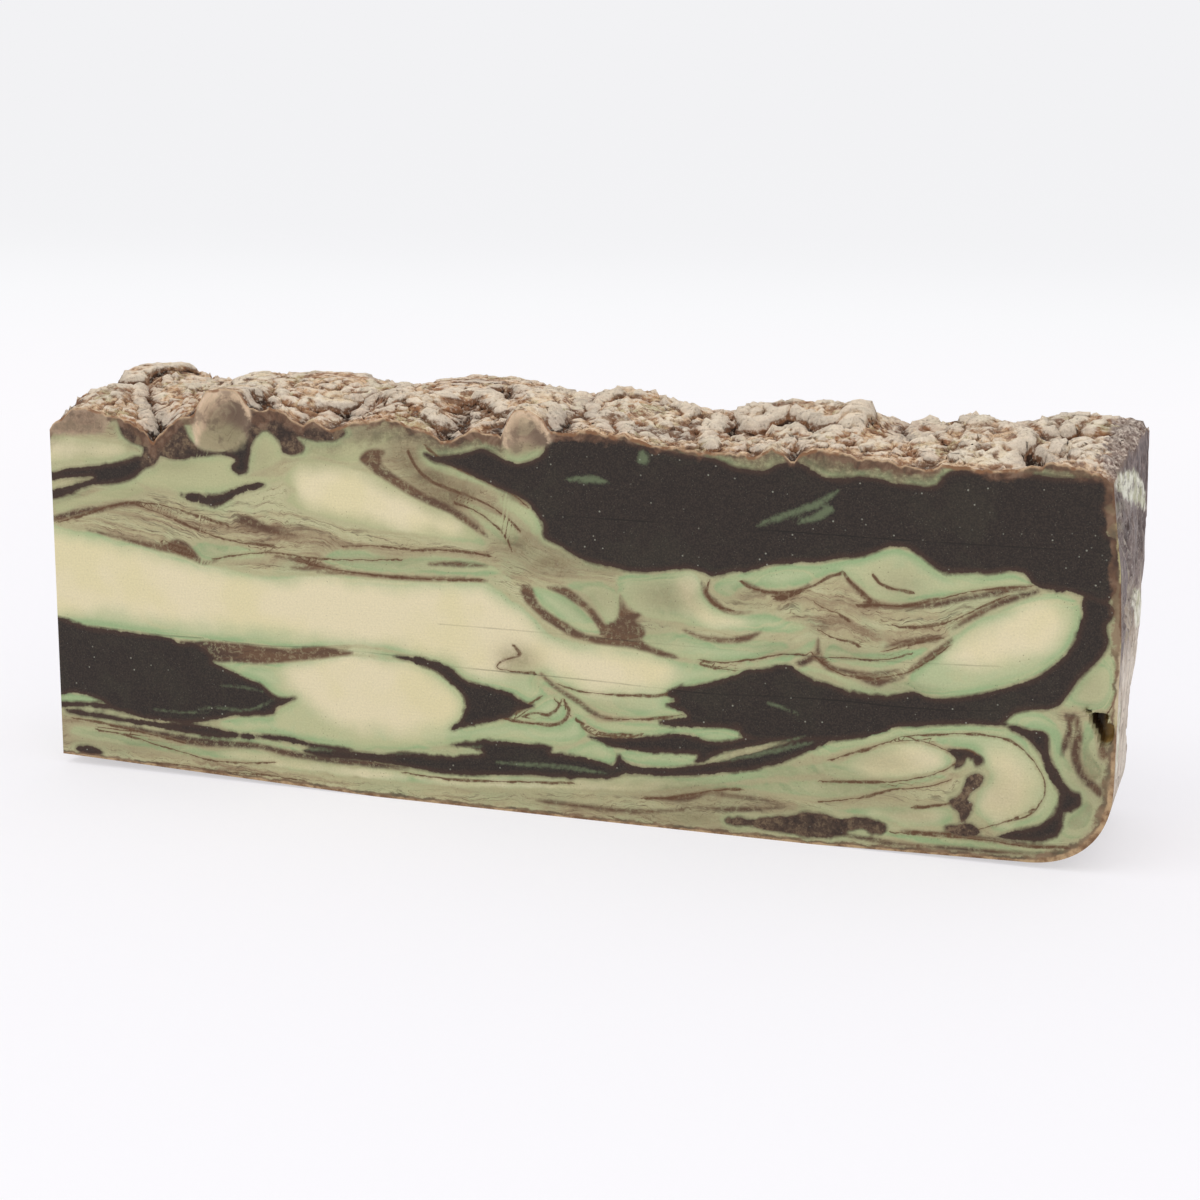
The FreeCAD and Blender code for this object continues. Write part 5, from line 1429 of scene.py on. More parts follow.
    def build(self, name: str) -> bpy.types.Object:
        """Builds the loaf's mesh and lays its marbling on it.

        Args:
            name: Name of the object and its mesh.

        Returns:
            The object, closed and with its faces outwards.
        """
        swept, marks = self.rings()
        stations, around = swept.shape[:2]
        left_cap = self.close_end(swept[0], self.left_rings)
        right_cap = self.close_end(swept[-1], self.right_rings)
        points = np.concatenate([swept.reshape(-1, 3), left_cap, right_cap])
        caps = np.zeros(len(left_cap) + len(right_cap))
        marks = {label: np.concatenate([values.ravel(), caps]) for label, values in marks.items()}
        first, second = swept[..., 0].size, swept[..., 0].size + len(left_cap)
        over = slice(self.front_points, self.front_points + self.top_points)
        for row, cap in ((0, slice(first, second)), (-1, slice(second, None))):
            top = np.interp(points[cap, 1], swept[row, over, 1], swept[row, over, 2])
            marks["rim"][cap] = np.maximum(top - points[cap, 2], 0.0)
        marks["skin"] = self.from_mould(points)
        points = self.lean_ends(self.mark_mould(self.square_toe(self.round_edges(points))))
        fields = self.marbling(points)
        faces, regions = self.faces(stations, around)
        loaf = new_object(name, self.open_pocket(points) * MM, faces)
        mesh = loaf.data
        mesh.polygons.foreach_set("material_index", regions)
        for label, values in {**fields, **marks}.items():
            mesh.attributes.new(label, "FLOAT", "POINT").data.foreach_set("value",
                values.astype(np.float32))
        mesh.validate()
        mesh.set_sharp_from_angle(angle=math.radians(self.sharp_angle))
        return loaf


class Value:
    """What a node puts out. Arithmetic on it adds Math nodes to the same tree."""

    def __init__(self, graph: "Graph", socket: bpy.types.NodeSocket) -> None:
        """Holds the socket and the graph that it belongs to."""
        self.graph = graph
        self.socket = socket

    def __add__(self, other: object) -> "Value":
        """This value and another, added."""
        return self.graph.math("ADD", self, other)

    def __sub__(self, other: object) -> "Value":
        """This value less another."""
        return self.graph.math("SUBTRACT", self, other)

    def __rsub__(self, other: float) -> "Value":
        """A number less this value."""
        return self.graph.math("SUBTRACT", other, self)

    def __mul__(self, other: object) -> "Value":
        """This value times another."""
        return self.graph.math("MULTIPLY", self, other)

    def __truediv__(self, other: object) -> "Value":
        """This value divided by another."""
        return self.graph.math("DIVIDE", self, other)

    def __abs__(self) -> "Value":
        """This value without its sign."""
        return self.graph.math("ABSOLUTE", self)


class Graph:
    """Short calls that add nodes to one tree and join them up."""

    def __init__(self, tree: bpy.types.NodeTree) -> None:
        """Starts on a tree, emptied of its nodes."""
        self.tree = tree
        tree.nodes.clear()

    def add(self, kind: str, **settings: object) -> bpy.types.Node:
        """Adds a node of a kind, such as "Math", with its settings.

        Args:
            kind: The node's kind.
            settings: The node's settings by name.

        Returns:
            The node.
        """
        node = self.tree.nodes.new("ShaderNode" + kind)
        for key, value in settings.items():
            setattr(node, key, value)
        return node

    def feed(self, socket: bpy.types.NodeSocket, value: object) -> None:
        """Joins a value to a socket, or sets the socket to a plain number or colour.

        Args:
            socket: The input to feed.
            value: A value, a socket or a plain setting.
        """
        if isinstance(value, Value):
            value = value.socket
        if isinstance(value, bpy.types.NodeSocket):
            self.tree.links.new(value, socket)
        else:
            socket.default_value = value

    def take(self, kind: str, given: dict, output: int | str = 0, **settings: object) -> Value:
        """Adds a node, feeds its inputs by number or name, and takes one of its outputs.

        Args:
            kind: The node's kind.
            given: What to feed each input.
            output: Number or name of the output.
            settings: The node's settings by name.

        Returns:
            The output.
        """
        node = self.add(kind, **settings)
        for key, value in given.items():
            self.feed(node.inputs[key], value)
        return Value(self, node.outputs[output])

    def math(self, operation: str, *values: object, clamp: bool = False) -> Value:
        """One step of arithmetic on its values."""
        return self.take("Math", dict(enumerate(values)), operation=operation, use_clamp=clamp)

    def spread(self, value: object, low: float, high: float, start: float = 0.0, end: float = 1.0) -> Value:
        """Smooth step of a value between low and high, onto start and end."""
        given = dict(enumerate((value, low, high, start, end)))
        return self.take("MapRange", given, interpolation_type="SMOOTHSTEP")

    def mix(self, share: object, first: object, second: object, blend: str = "MIX") -> Value:
        """Colour between two colours."""
        return self.take("Mix", {0: share, 6: first, 7: second}, 2, data_type="RGBA", blend_type=blend)

    def coat(self, base: object, value: Value, low: float, high: float, amount: float,
            colour: tuple) -> Value:
        """Base colour under a coat, in screen values, that grows with a value from low to high."""
        return self.mix(self.spread(value, low, high, 0.0, amount), base, linear(*colour))

    def noise(self, place: Value, scale: float, detail: float = 3.0, rough: float = 0.55,
            bend: float = 0.0) -> Value:
        """Cloudy noise, 0 to 1, over a place."""
        given = {"Vector": place, "Scale": scale, "Detail": detail, "Roughness": rough, "Distortion": bend}
        return self.take("TexNoise", given)

    def cells(self, place: Value, scale: float) -> Value:
        """Distance to the nearest of scattered points."""
        return self.take("TexVoronoi", {"Vector": place, "Scale": scale}, "Distance")

    def ramp(self, value: Value, *stops: tuple[float, int, int, int]) -> Value:
        """Colour that a value picks from stops, each a place and a colour in screen values.

        Args:
            value: The value, 0 to 1.
            stops: Place, red, green and blue of each stop.

        Returns:
            The colour.
        """
        node = self.add("ValToRGB")
        self.feed(node.inputs[0], value)
        elements = node.color_ramp.elements
        while len(elements) < len(stops):
            elements.new(1.0)
        for element, (place, *colour) in zip(elements, stops):
            element.position = place
            element.color = linear(*colour)
        return Value(self, node.outputs[0])

    def join(self, x: Value, y: Value, z: Value) -> Value:
        """Vector of three values."""
        return self.take("CombineXYZ", {0: x, 1: y, 2: z})

    def split(self, vector: Value) -> tuple[Value, ...]:
        """The three values of a vector.

        Args:
            vector: The vector.

        Returns:
            Its values along x, y and z.
        """
        node = self.add("SeparateXYZ")
        self.feed(node.inputs[0], vector)
        return tuple(Value(self, output) for output in node.outputs)

    def shift(self, vector: object, by: tuple[float, float, float], scale: float = 1.0) -> Value:
        """Vector times a scale, moved by a fixed step."""
        return self.take("VectorMath", {0: vector, 1: (scale,) * 3, 2: by}, operation="MULTIPLY_ADD")

    def attribute(self, name: str) -> Value:
        """A value laid on the mesh's points."""
        return self.take("Attribute", {}, "Fac", attribute_type="GEOMETRY", attribute_name=name)

    def millimetres(self) -> Value:
        """Place on the object, in millimetres."""
        return self.shift(self.add("TexCoord").outputs["Object"], (0, 0, 0), 1 / MM)

    def use(self, group: bpy.types.NodeTree, **given: object) -> dict[str, Value]:
        """Places a node group with its inputs, and gives its outputs by name.

        Args:
            group: The group's tree.
            given: What to feed each input.

        Returns:
            The outputs.
        """
        node = self.add("Group", node_tree=group)
        for key, value in given.items():
            self.feed(node.inputs[key], value)
        return {output.name: Value(self, output) for output in node.outputs}


def new_group(name: str, inputs: dict[str, str], outputs: dict[str, str]) -> tuple[Graph, dict,
        bpy.types.Node]:
    """Starts a node group with named sockets.

    Args:
        name: The group's name.
        inputs: Kind of socket for each input's name.
        outputs: Kind of socket for each output's name.

    Returns:
        The group's graph, its inputs by name, and its output node.
    """
    tree = bpy.data.node_groups.new(name, "ShaderNodeTree")
    for way, names in (("INPUT", inputs), ("OUTPUT", outputs)):
        for label, kind in names.items():
            tree.interface.new_socket(label, in_out=way, socket_type="NodeSocket" + kind)
    graph = Graph(tree)
    source = tree.nodes.new("NodeGroupInput")
    sink = tree.nodes.new("NodeGroupOutput")
    return graph, {label: Value(graph, source.outputs[label]) for label in inputs}, sink


# The mesh's layers that the marbling reads, each under its name in small letters.
SWIRL_FIELDS = ("Dark", "Brown", "Pale", "Cream", "Wisp", "Rolled", "Veil", "Murk", "Flow", "Thread",
    "Near", "Rim")


@dataclass(frozen=True)
class SwirlPalette:
    """Colours of the poured soaps."""

    cream: Colour = linear(230, 217, 180)
    cream_cool: Colour = linear(226, 214, 170)
    green: Colour = linear(184, 192, 148)
    green_deep: Colour = linear(152, 176, 128)
    olive: Colour = linear(186, 182, 138)
    brown: Colour = linear(76, 54, 43)
    brown_light: Colour = linear(106, 78, 57)
    thread: Colour = linear(96, 66, 44)
    dark: Colour = linear(43, 36, 32)
    dark_warm: Colour = linear(60, 50, 43)
    wisp: Colour = linear(112, 124, 92)
    fleck: Colour = linear(190, 190, 172)


def swirl_group(palette: SwirlPalette) -> bpy.types.NodeTree:
    """Marbled soap: colour and fine height from the depths laid on the mesh.

    Args:
        palette: Colours of the soaps.

    Returns:
        The node group.
    """
    inputs = {"Place": "Vector", **dict.fromkeys(SWIRL_FIELDS, "Float")}
    outputs = {"Color": "Color", "Dark share": "Float", "Height": "Float"}
    g, given, sink = new_group("marbled soap", inputs, outputs)
    place = given["Place"]
    x, y, z = g.split(place)
    meander = (g.noise(place, 0.075, 4.0, 0.6) - 0.5) * 9.0 + given["Flow"]
    along = x * 0.036
    aside = (z + y) * 0.036
    stream = g.join(along, aside, meander * 0.3)
    broad = g.noise(stream, 1.0, 4.0, 0.52, 0.35)
    second = g.noise(g.shift(stream, (7.3, 2.9, 4.1), 1.5), 1.0, 3.0, 0.5, 0.6)
    third = g.noise(g.shift(stream, (1.7, 8.8, 3.3), 2.6), 1.0, 3.0, 0.5, 0.4)
    fray = g.noise(place, 0.24, 4.0, 0.6, 0.4)
    grain = g.noise(place, 1.3, 3.0, 0.6)
    patch = g.noise(place, 0.06, 2.0)

    def strand(noise: Value, width: float) -> Value:
        """Thin line where a noise crosses its middle."""
        return g.spread(abs(noise - 0.5), 0.0, width, 1.0, 0.0)

    mottle = g.noise(place, 0.9, 4.0, 0.7, 0.3)
    veil_tone = g.spread(broad, 0.3, 0.7, 0.0, 0.62) + (given["Veil"] * 0.52 - 0.1)
    veil_tone = (mottle - 0.5) * 0.55 + veil_tone
    colour = g.ramp(veil_tone, (0.0, 192, 188, 146), (0.26, 184, 174, 134), (0.5, 168, 152, 118),
        (0.74, 142, 120, 92), (1.0, 108, 84, 65))
    moss = g.spread(g.noise(g.shift(place, (21.0, 4.0, 9.0)), 0.07, 3.0), 0.50, 0.62, 0.0, 0.5)
    colour = g.mix(moss * g.spread(veil_tone, 0.75, 0.35), colour, linear(174, 182, 140))
    beside = g.spread(g.math("MAXIMUM", given["Dark"], given["Pale"]), -1.8, -0.4)
    clear = 1.0 - beside
    lines = strand(second, 0.034) * g.spread(patch, 0.4, 0.62, 0.2, 0.95)
    colour = g.mix(lines * clear * 0.7, colour, palette.brown)
    pale_lines = strand(third, 0.06) * g.spread(broad, 0.35, 0.6, 0.5, 0.1)
    colour = g.mix(pale_lines, colour, linear(196, 188, 150))
    rust_lines = strand(g.noise(g.shift(stream, (3.1, 5.2, 9.7), 1.9), 1.0, 4.0, 0.55, 0.7), 0.016)
    colour = g.mix(rust_lines * clear * 0.65, colour, palette.thread)
    colour = g.mix(beside * g.spread(given["Veil"], 0.6, 0.2, 0.15, 0.55), colour, linear(182, 176, 136))

    wobble = (fray - 0.5) * 1.9 + (grain - 0.5) * 0.4
    pale_depth = given["Pale"] + wobble
    green = g.mix(g.spread(pale_depth, 0.0, 2.6), palette.green_deep, palette.green)
    green = g.mix(g.spread(broad, 0.4, 0.62) * 0.6, green, linear(198, 192, 148))
    upper_left = g.spread(x, 0.0, -30.0) * g.spread(z, 58.0, 66.0)
    green = g.mix(upper_left * 0.8, green, palette.olive)
    cream = g.mix(g.spread(patch, 0.4, 0.65), palette.cream, palette.cream_cool)
    cream_depth = (g.noise(place, 0.09, 3.0, 0.5) - 0.5) * 7.0 + given["Cream"]
    pale = g.mix(g.spread(cream_depth, -3.6, 2.8), green, cream)
    pale_share = g.spread(pale_depth, -0.5, 0.5)
    colour = g.mix(pale_share, colour, pale)
    murky_tone = g.spread(given["Veil"], 0.6, 1.1) * -0.11 + (broad * 0.5 + mottle * 0.5)
    murky = g.ramp(murky_tone, (0.24, 84, 68, 54), (0.36, 118, 102, 76), (0.47, 146, 136, 102),
        (0.58, 168, 162, 126))
    colour = g.mix(given["Murk"] * g.spread(mottle, 0.3, 0.6, 0.7, 1.15), colour, murky)

    stained = (g.noise(place, 0.25, 4.0, 0.65, 0.4) - 0.5) * 8.0 + given["Rim"]
    stain = g.ramp(mottle * 0.6 + broad * 0.4, (0.38, 84, 69, 53), (0.5, 118, 102, 79),
        (0.6, 152, 142, 108))
    colour = g.mix(g.spread(stained, 7.0, 2.5, 0.0, 0.9) * g.spread(x, -60.0, -22.0, 0.45, 1.0), colour,
        stain)

    frayed = (fray - 0.5) * g.spread(patch, 0.42, 0.62, 0.7, 2.6)
    dark_depth = (grain - 0.5) * 0.5 + (frayed + given["Dark"])
    uneven = g.spread(g.noise(place, 0.13, 2.0), 0.35, 0.65)
    colour = g.mix(g.spread(dark_depth, -2.6, -0.2) * (uneven * 0.35 + 0.05), colour, palette.green_deep)
    colour = g.mix(g.spread(dark_depth, -0.8, -0.05) * (uneven * 0.5 + 0.3), colour, palette.brown)
    brown_depth = given["Brown"] + (fray - 0.5) * 1.1
    brown_share = g.spread(brown_depth, -0.7, 0.45) * g.spread(mottle, 0.34, 0.52, 0.55, 0.98)
    brown = g.mix(g.spread(given["Dark"], -9.0, -0.5) * 0.7 + g.spread(second, 0.4, 0.6, -0.1, 0.4),
        palette.brown_light, palette.brown)
    colour = g.mix(brown_share, colour, brown)
    bent = (g.noise(place, 0.45, 3.0, 0.6) - 0.5) * 0.8 + given["Thread"]
    beside_thread = abs(bent)
    thin = g.spread(g.noise(place, 0.13, 2.0), 0.36, 0.64, 0.16, 0.60)
    core = g.math("SUBTRACT", 1.0, beside_thread / thin, clamp=True)
    threads = core * g.spread(given["Near"], 0.6, 0.85, 1.0, 0.0)
    halo = g.spread(beside_thread, 0.1, 1.0, 0.35, 0.0) * g.spread(given["Near"], 0.5, 1.5, 1.0, 0.0)
    colour = g.mix(halo * g.spread(mottle, 0.35, 0.6, 0.4, 1.2), colour, linear(140, 112, 82))
    colour = g.mix(g.spread(threads, 0.0, 0.7) * g.spread(mottle, 0.3, 0.6, 0.45, 0.95), colour,
        palette.thread)
    dark = g.mix(g.spread(g.noise(place, 3.1, 2.0, 0.6), 0.38, 0.66), palette.dark, palette.dark_warm)
    dark = g.mix(g.spread(g.noise(g.shift(stream, (5.0, 1.0, 2.0), 1.3), 1.0, 3.0), 0.5, 0.7) * 0.1, dark,
        linear(84, 84, 64))
    dark = g.mix(g.spread(dark_depth, 0.1, 1.6, 0.6, 0.0), dark, palette.brown)
    under_crest = g.spread(x, -20.0, -42.0) * g.spread(stained, 11.0, 6.0)
    hook = g.spread(abs(x - 96.0), 5.0, 7.5, 1.0, 0.0) * g.spread(z, 24.0, 20.0)
    foot = g.spread(abs(x - 63.0), 22.0, 27.0, 0.8, 0.0) * g.spread(z, 9.0, 7.0)
    hook = g.math("MAXIMUM", hook, foot)
    broken_brown = g.ramp(mottle * 0.6 + fray * 0.4, (0.4, 56, 43, 36), (0.5, 90, 70, 56),
        (0.6, 134, 112, 86))
    dark = g.mix(g.math("MAXIMUM", under_crest, hook) * 0.8, dark, broken_brown)
    dark_share = g.spread(dark_depth, -0.18, 0.18)
    wisp_share = g.spread(given["Wisp"] + (grain - 0.5) * 1.4, -0.5, 0.6) * 0.75
    dark = g.mix(wisp_share, dark, palette.wisp)
    colour = g.mix(dark_share, colour, dark)

    coil = (g.noise(place, 0.16, 3.0) - 0.5) * 5.0 + given["Rolled"]
    bands = g.noise(g.join(along, aside, coil * 0.36), 1.0, 3.0, 0.6, 0.5)
    rounded = (g.noise(place, 0.22, 3.0, 0.6) - 0.5) * 4.0 + g.math("MINIMUM", given["Rim"],
        given["Rolled"] + 0.3)
    sunk = (g.noise(place, 0.22, 3.0, 0.6) - 0.5) * 6.0 + given["Rim"]
    # The rolled lobes are lightest at their outline and near the top of the face, a painted highlight of a
    # lit curl, and darker inwards.
    rolled = g.ramp(rounded * 0.2, (0.0, 230, 202, 172), (0.3, 216, 188, 156), (0.65, 184, 158, 130),
        (1.0, 144, 122, 98))
    # Painted shade on the right side of each lobe, below its rim.
    painted_lobe_shade = g.math("ADD", g.spread(x, -83.0, -76.0) * g.spread(x, -40.0, -50.0),
        g.spread(x, -8.0, -1.0), clamp=True)
    rolled = g.mix(painted_lobe_shade * g.spread((mottle - 0.5) * 5.0 + given["Rim"], 1.8, 3.6, 0.0, 0.85),
        rolled, linear(98, 78, 65))
    for value, low, high, amount, paint in (
        (sunk, 6.0, 10.0, 0.85, (152, 142, 108)),
        (bands, 0.46, 0.60, 0.45, (172, 158, 126)),
        (bands, 0.44, 0.36, 0.4, (104, 84, 66)),
    ):
        rolled = g.coat(rolled, value, low, high, amount, paint)
    rolled = g.mix(g.spread(g.noise(g.shift(place, (5.0, 2.0, 8.0)), 0.17, 4.0, 0.65), 0.52, 0.64, 0.0,
        0.5), rolled, linear(92, 72, 60))
    rolled = g.mix(g.spread(x, -108.0, -113.0, 0.0, 0.6), rolled,
        g.ramp(mottle, (0.35, 74, 56, 46), (0.5, 104, 80, 64), (0.62, 130, 104, 84)))
    colour = g.mix(g.spread(given["Rolled"] + (fray - 0.5) * 3.0, -0.8, 1.0), colour, rolled)

    crumbs = g.cells(place, 0.55)
    fleck = g.spread(crumbs, 0.07, 0.14, 1.0, 0.0) * g.spread(g.noise(place, 0.35, 1.0), 0.5, 0.62)
    colour = g.mix(fleck * (dark_share * 0.4 + 0.1), colour, palette.fleck)
    specks = g.cells(g.shift(place, (3.7, 9.1, 5.5)), 0.9)
    speck = g.spread(specks, 0.08, 0.16, 1.0, 0.0) * g.spread(g.noise(place, 0.22, 1.0), 0.5, 0.6)
    speck = speck * (g.math("SUBTRACT", 1.0, given["Cream"], clamp=True) * 0.3 + 0.15)
    colour = g.mix(speck * (1.0 - dark_share), colour, palette.brown)
    salt = g.cells(g.shift(place, (1.3, 4.4, 8.2)), 1.7)
    salted = g.spread(salt, 0.1, 0.22, 1.0, 0.0) * g.spread(g.noise(place, 0.5, 2.0), 0.45, 0.6, 0.05, 0.5)
    colour = g.mix(salted * (dark_share * 0.5 + 0.08), colour, linear(128, 124, 108))
    tint = g.noise(place, 2.2, 2.0, 0.7)
    colour = g.mix(1.0, colour, g.ramp(tint, (0.3, 239, 239, 239), (0.7, 255, 255, 255)), "MULTIPLY")
    g.feed(sink.inputs["Color"], colour)
    g.feed(sink.inputs["Dark share"], dark_share)
    g.feed(sink.inputs["Height"], grain * 0.5 + fray * 0.3)
    return g.tree


def crumb_group() -> bpy.types.NodeTree:
    """Crumbly surface: height and a crumb mask at two sizes, from grains and small pits.

    Returns:
        The group's tree.
    """
    g, given, sink = new_group("crumb", {"Place": "Vector", "Size": "Float"},
        {"Height": "Float", "Pits": "Float"})
    place = g.take("VectorMath", {0: given["Place"], "Scale": given["Size"]}, operation="SCALE")
    coarse = g.noise(place, 0.5, 4.0, 0.65, 0.3)
    fine = g.noise(place, 1.9, 3.0, 0.6)
    hollows = g.spread(g.cells(place, 0.8), 0.12, 0.3, 1.0, 0.0)
    pits = hollows * g.spread(g.noise(place, 0.3, 2.0), 0.48, 0.6)
    height = coarse * 0.8 + fine * 0.35
    g.feed(sink.inputs["Height"], height - pits * 0.6)
    g.feed(sink.inputs["Pits"], pits)
    return g.tree


@dataclass(frozen=True)
class SoapFinishes:
    """The loaf's three finishes: sliced soap, the dried crust of the top, and the skin left by the mould."""

    palette: SwirlPalette = SwirlPalette()
    slice_roughness: float = 0.46
    crust_roughness: float = 0.72
    skin_roughness: float = 0.60
    sheen_level: float = 0.25

    def start(self, name: str) -> tuple[bpy.types.Material, Graph, bpy.types.Node]:
        """Starts a material with one Principled shader.

        Args:
            name: The material's name.

        Returns:
            The material, its graph and its shader.
        """
        material = bpy.data.materials.new(name)
        material.use_nodes = True
        g = Graph(material.node_tree)
        shader = g.add("BsdfPrincipled")
        shader.inputs["Specular IOR Level"].default_value = self.sheen_level
        g.feed(g.add("OutputMaterial").inputs["Surface"], shader.outputs[0])
        return material, g, shader

    def swirl(self, g: Graph, group: bpy.types.NodeTree, place: Value) -> dict[str, Value]:
        """Places the marbling group, fed by the mesh's layers."""
        return g.use(group, Place=place, **{name: g.attribute(name.lower()) for name in SWIRL_FIELDS})

    def bump(self, g: Graph, shader: bpy.types.Node, height: Value, strength: float,
            distance: float) -> None:
        """Bumps the shader by a height, of which 1 is the distance in millimetres.

        Args:
            g: The material's graph.
            shader: Its shader.
            height: The height.
            strength: Share of the bump that shows.
            distance: Height of the bump, in millimetres.
        """
        node = g.add("Bump")
        node.inputs["Strength"].default_value = strength
        node.inputs["Distance"].default_value = distance * MM
        g.feed(node.inputs["Height"], height)
        g.feed(shader.inputs["Normal"], node.outputs[0])

    def crust_colour(self, g: Graph, place: Value, crumb: dict[str, Value]) -> Value:
        """Colour of dried crust: streaks that follow the turns of the top, tan, pale or grey by plate,
        rust, a painted highlight on the lips, painted shade in hollows, low places and on steep sides, and
        painted highlights on raised parts.

        Args:
            g: The material's graph.
            place: Place on the object, in millimetres.
            crumb: Outputs of the crumb group.

        Returns:
            The colour.
        """
        relief, tone, lip, turns = (g.attribute(name) for name in ("relief", "tone", "lip", "turns"))
        x, y, _ = g.split(place)
        wind = (g.noise(place, 0.2, 3.0) - 0.5) * 1.2 + turns
        winding = g.join(x * 0.05, y * 0.05, wind * 2.6)
        streak = g.noise(winding, 1.0, 4.0, 0.62)
        tan = g.ramp(streak, (0.32, 146, 102, 70), (0.42, 206, 162, 120), (0.5, 238, 205, 166),
            (0.58, 220, 182, 142), (0.68, 168, 130, 98))
        pale = g.ramp(streak, (0.32, 194, 162, 126), (0.46, 248, 228, 196), (0.58, 232, 210, 172),
            (0.7, 190, 160, 126))
        grey = g.ramp(streak, (0.32, 90, 73, 61), (0.45, 142, 119, 100), (0.56, 188, 163, 138),
            (0.68, 126, 105, 88))
        drift = (g.noise(g.shift(place, (31.0, 12.0, 5.0)), 0.07, 4.0, 0.6, 0.8) - 0.5) * 2.6
        shade = tone + drift
        base = g.mix(g.spread(shade, 0.10, 0.70), tan, pale)
        base = g.mix(g.spread(shade, -0.15, -0.70), base, grey)
        rust = g.noise(g.shift(place, (9.0, 41.0, 15.0)), 0.15, 4.0, 0.65)
        base = g.mix(g.spread(rust, 0.54, 0.66) * 0.7, base, linear(168, 116, 80))
        # Painted highlight in pale cream along the plates' lips, weaker where the rust noise is high.
        base = g.mix(g.spread(lip, 0.35, 0.95) * g.spread(rust, 0.4, 0.58, 0.75, 0.3), base,
            linear(226, 206, 166))
        chip = g.noise(g.shift(place, (3.0, 17.0, 8.0)), 0.42, 5.0, 0.7, 0.6)
        olive = g.noise(g.shift(place, (7.0, 27.0, 3.0)), 0.10, 4.0, 0.6, 0.6)
        for value, low, high, amount, paint in (
            (olive, 0.55, 0.62, 0.6, (190, 182, 136)),
            (chip, 0.53, 0.64, 0.8, (122, 86, 62)),
            (chip, 0.46, 0.34, 0.5, (248, 234, 206)),
        ):
            base = g.coat(base, value, low, high, amount, paint)
        stand = (chip - 0.5) * -2.0 + g.attribute("stand")
        side = (chip - 0.5) * 2.2 + g.attribute("slope")
        # Painted shade on the steep sides of the folds and plates, orange-brown then dark brown.
        base = g.mix(g.spread(side, 0.4, 1.15, 0.0, 0.8), base,
            g.mix(g.spread(rust, 0.42, 0.58), linear(132, 100, 78), linear(162, 110, 72)))
        base = g.coat(base, side, 1.00, 1.70, 0.6, (78, 55, 42))
        # Painted shade where the top lies below its wider surroundings, brown then near-black, and a painted
        # highlight in pale cream where it stands above them.
        base = g.mix(g.spread(stand, 0.1, -0.5, 0.0, 0.85), base,
            g.mix(g.spread(rust, 0.4, 0.6), linear(112, 84, 66), linear(138, 94, 62)))
        for value, low, high, amount, paint in (
            (stand, -0.5, -1.3, 0.9, (54, 38, 30)),
            (stand, 0.5, 1.3, 0.45, (242, 224, 194)),
        ):
            base = g.coat(base, value, low, high, amount, paint)
        # Painted shade in the hollows of the relief, brown then near-black, and a painted highlight in
        # near-white on its ridges, broken up by the chip noise.
        wear_and_relief_shading = (chip - 0.5) * -1.2 + relief
        for value, low, high, amount, paint in (
            (wear_and_relief_shading, -0.04, -0.32, 0.75, (140, 98, 68)),
            (wear_and_relief_shading, -0.28, -0.70, 0.9, (52, 37, 29)),
            (wear_and_relief_shading, 0.16, 0.55, 0.55, (252, 238, 216)),
        ):
            base = g.coat(base, value, low, high, amount, paint)
        blanched = g.spread(x, 84.0, 112.0, 0.0, 0.15) * g.spread(shade, -0.5, 0.0)
        base = g.mix(blanched * g.spread(chip, 0.36, 0.56, 1.0, 0.5), base, linear(240, 230, 218))
        dust = g.noise(place, 1.0, 4.0, 0.7)
        mauve = g.ramp(dust, (0.36, 92, 76, 71), (0.48, 150, 133, 123), (0.60, 196, 180, 168))
        wander = (g.noise(g.shift(place, (5.0, 8.0, 2.0)), 0.2, 4.0, 0.65) - 0.5) * 11.0
        base = g.mix(g.spread(x + wander, 119.6, 121.2, 0.0, 0.85) * g.spread(y, -23.0, -20.0), base, mauve)
        for value, low, high, amount, paint in (
            (dust, 0.50, 0.68, 0.5, (246, 232, 210)),
            (dust, 0.44, 0.30, 0.5, (112, 84, 64)),
        ):
            base = g.coat(base, value, low, high, amount, paint)
        # The crumb pits get painted shade.
        return g.mix(crumb["Pits"] * 0.25, base, linear(86, 62, 48))

    def sliced(self, swirl: bpy.types.NodeTree, crumbs: bpy.types.NodeTree) -> bpy.types.Material:
        """Sliced soap: the marbling, dragged hairlines, the crust and the mould's skin seen edge-on, a
        painted highlight along the crest, and the dark walls of the air pocket.

        Args:
            swirl: The marbling's group.
            crumbs: The crumb group.

        Returns:
            The material.
        """
        material, g, shader = self.start("sliced_soap")
        place = g.millimetres()
        marbled = self.swirl(g, swirl, place)
        crumb = g.use(crumbs, Place=place, Size=1.0)
        uneven = g.noise(place, 0.35, 4.0, 0.6) - 0.5
        below = g.attribute("rim")
        x, y, z = g.split(place)
        swollen = g.spread(g.noise(g.shift(place, (8.0, 0.0, 3.0)), 0.07, 2.0), 0.40, 0.62, 0.45, 1.9)
        thick = swollen * g.spread(x, -40.0, -70.0, 1.0, 1.8)
        ragged = uneven * -4.5 + below - thick
        dried = g.ramp(g.noise(place, 0.3, 4.0, 0.65, 0.6), (0.35, 70, 51, 41), (0.5, 104, 76, 58),
            (0.62, 128, 102, 82))
        flat = g.spread(g.attribute("rolled"), 0.2, 1.2, 0.85, 0.08)
        colour = g.mix(g.spread(ragged, -0.4, 0.9, 1.0, 0.0) * flat, marbled["Color"], dried)
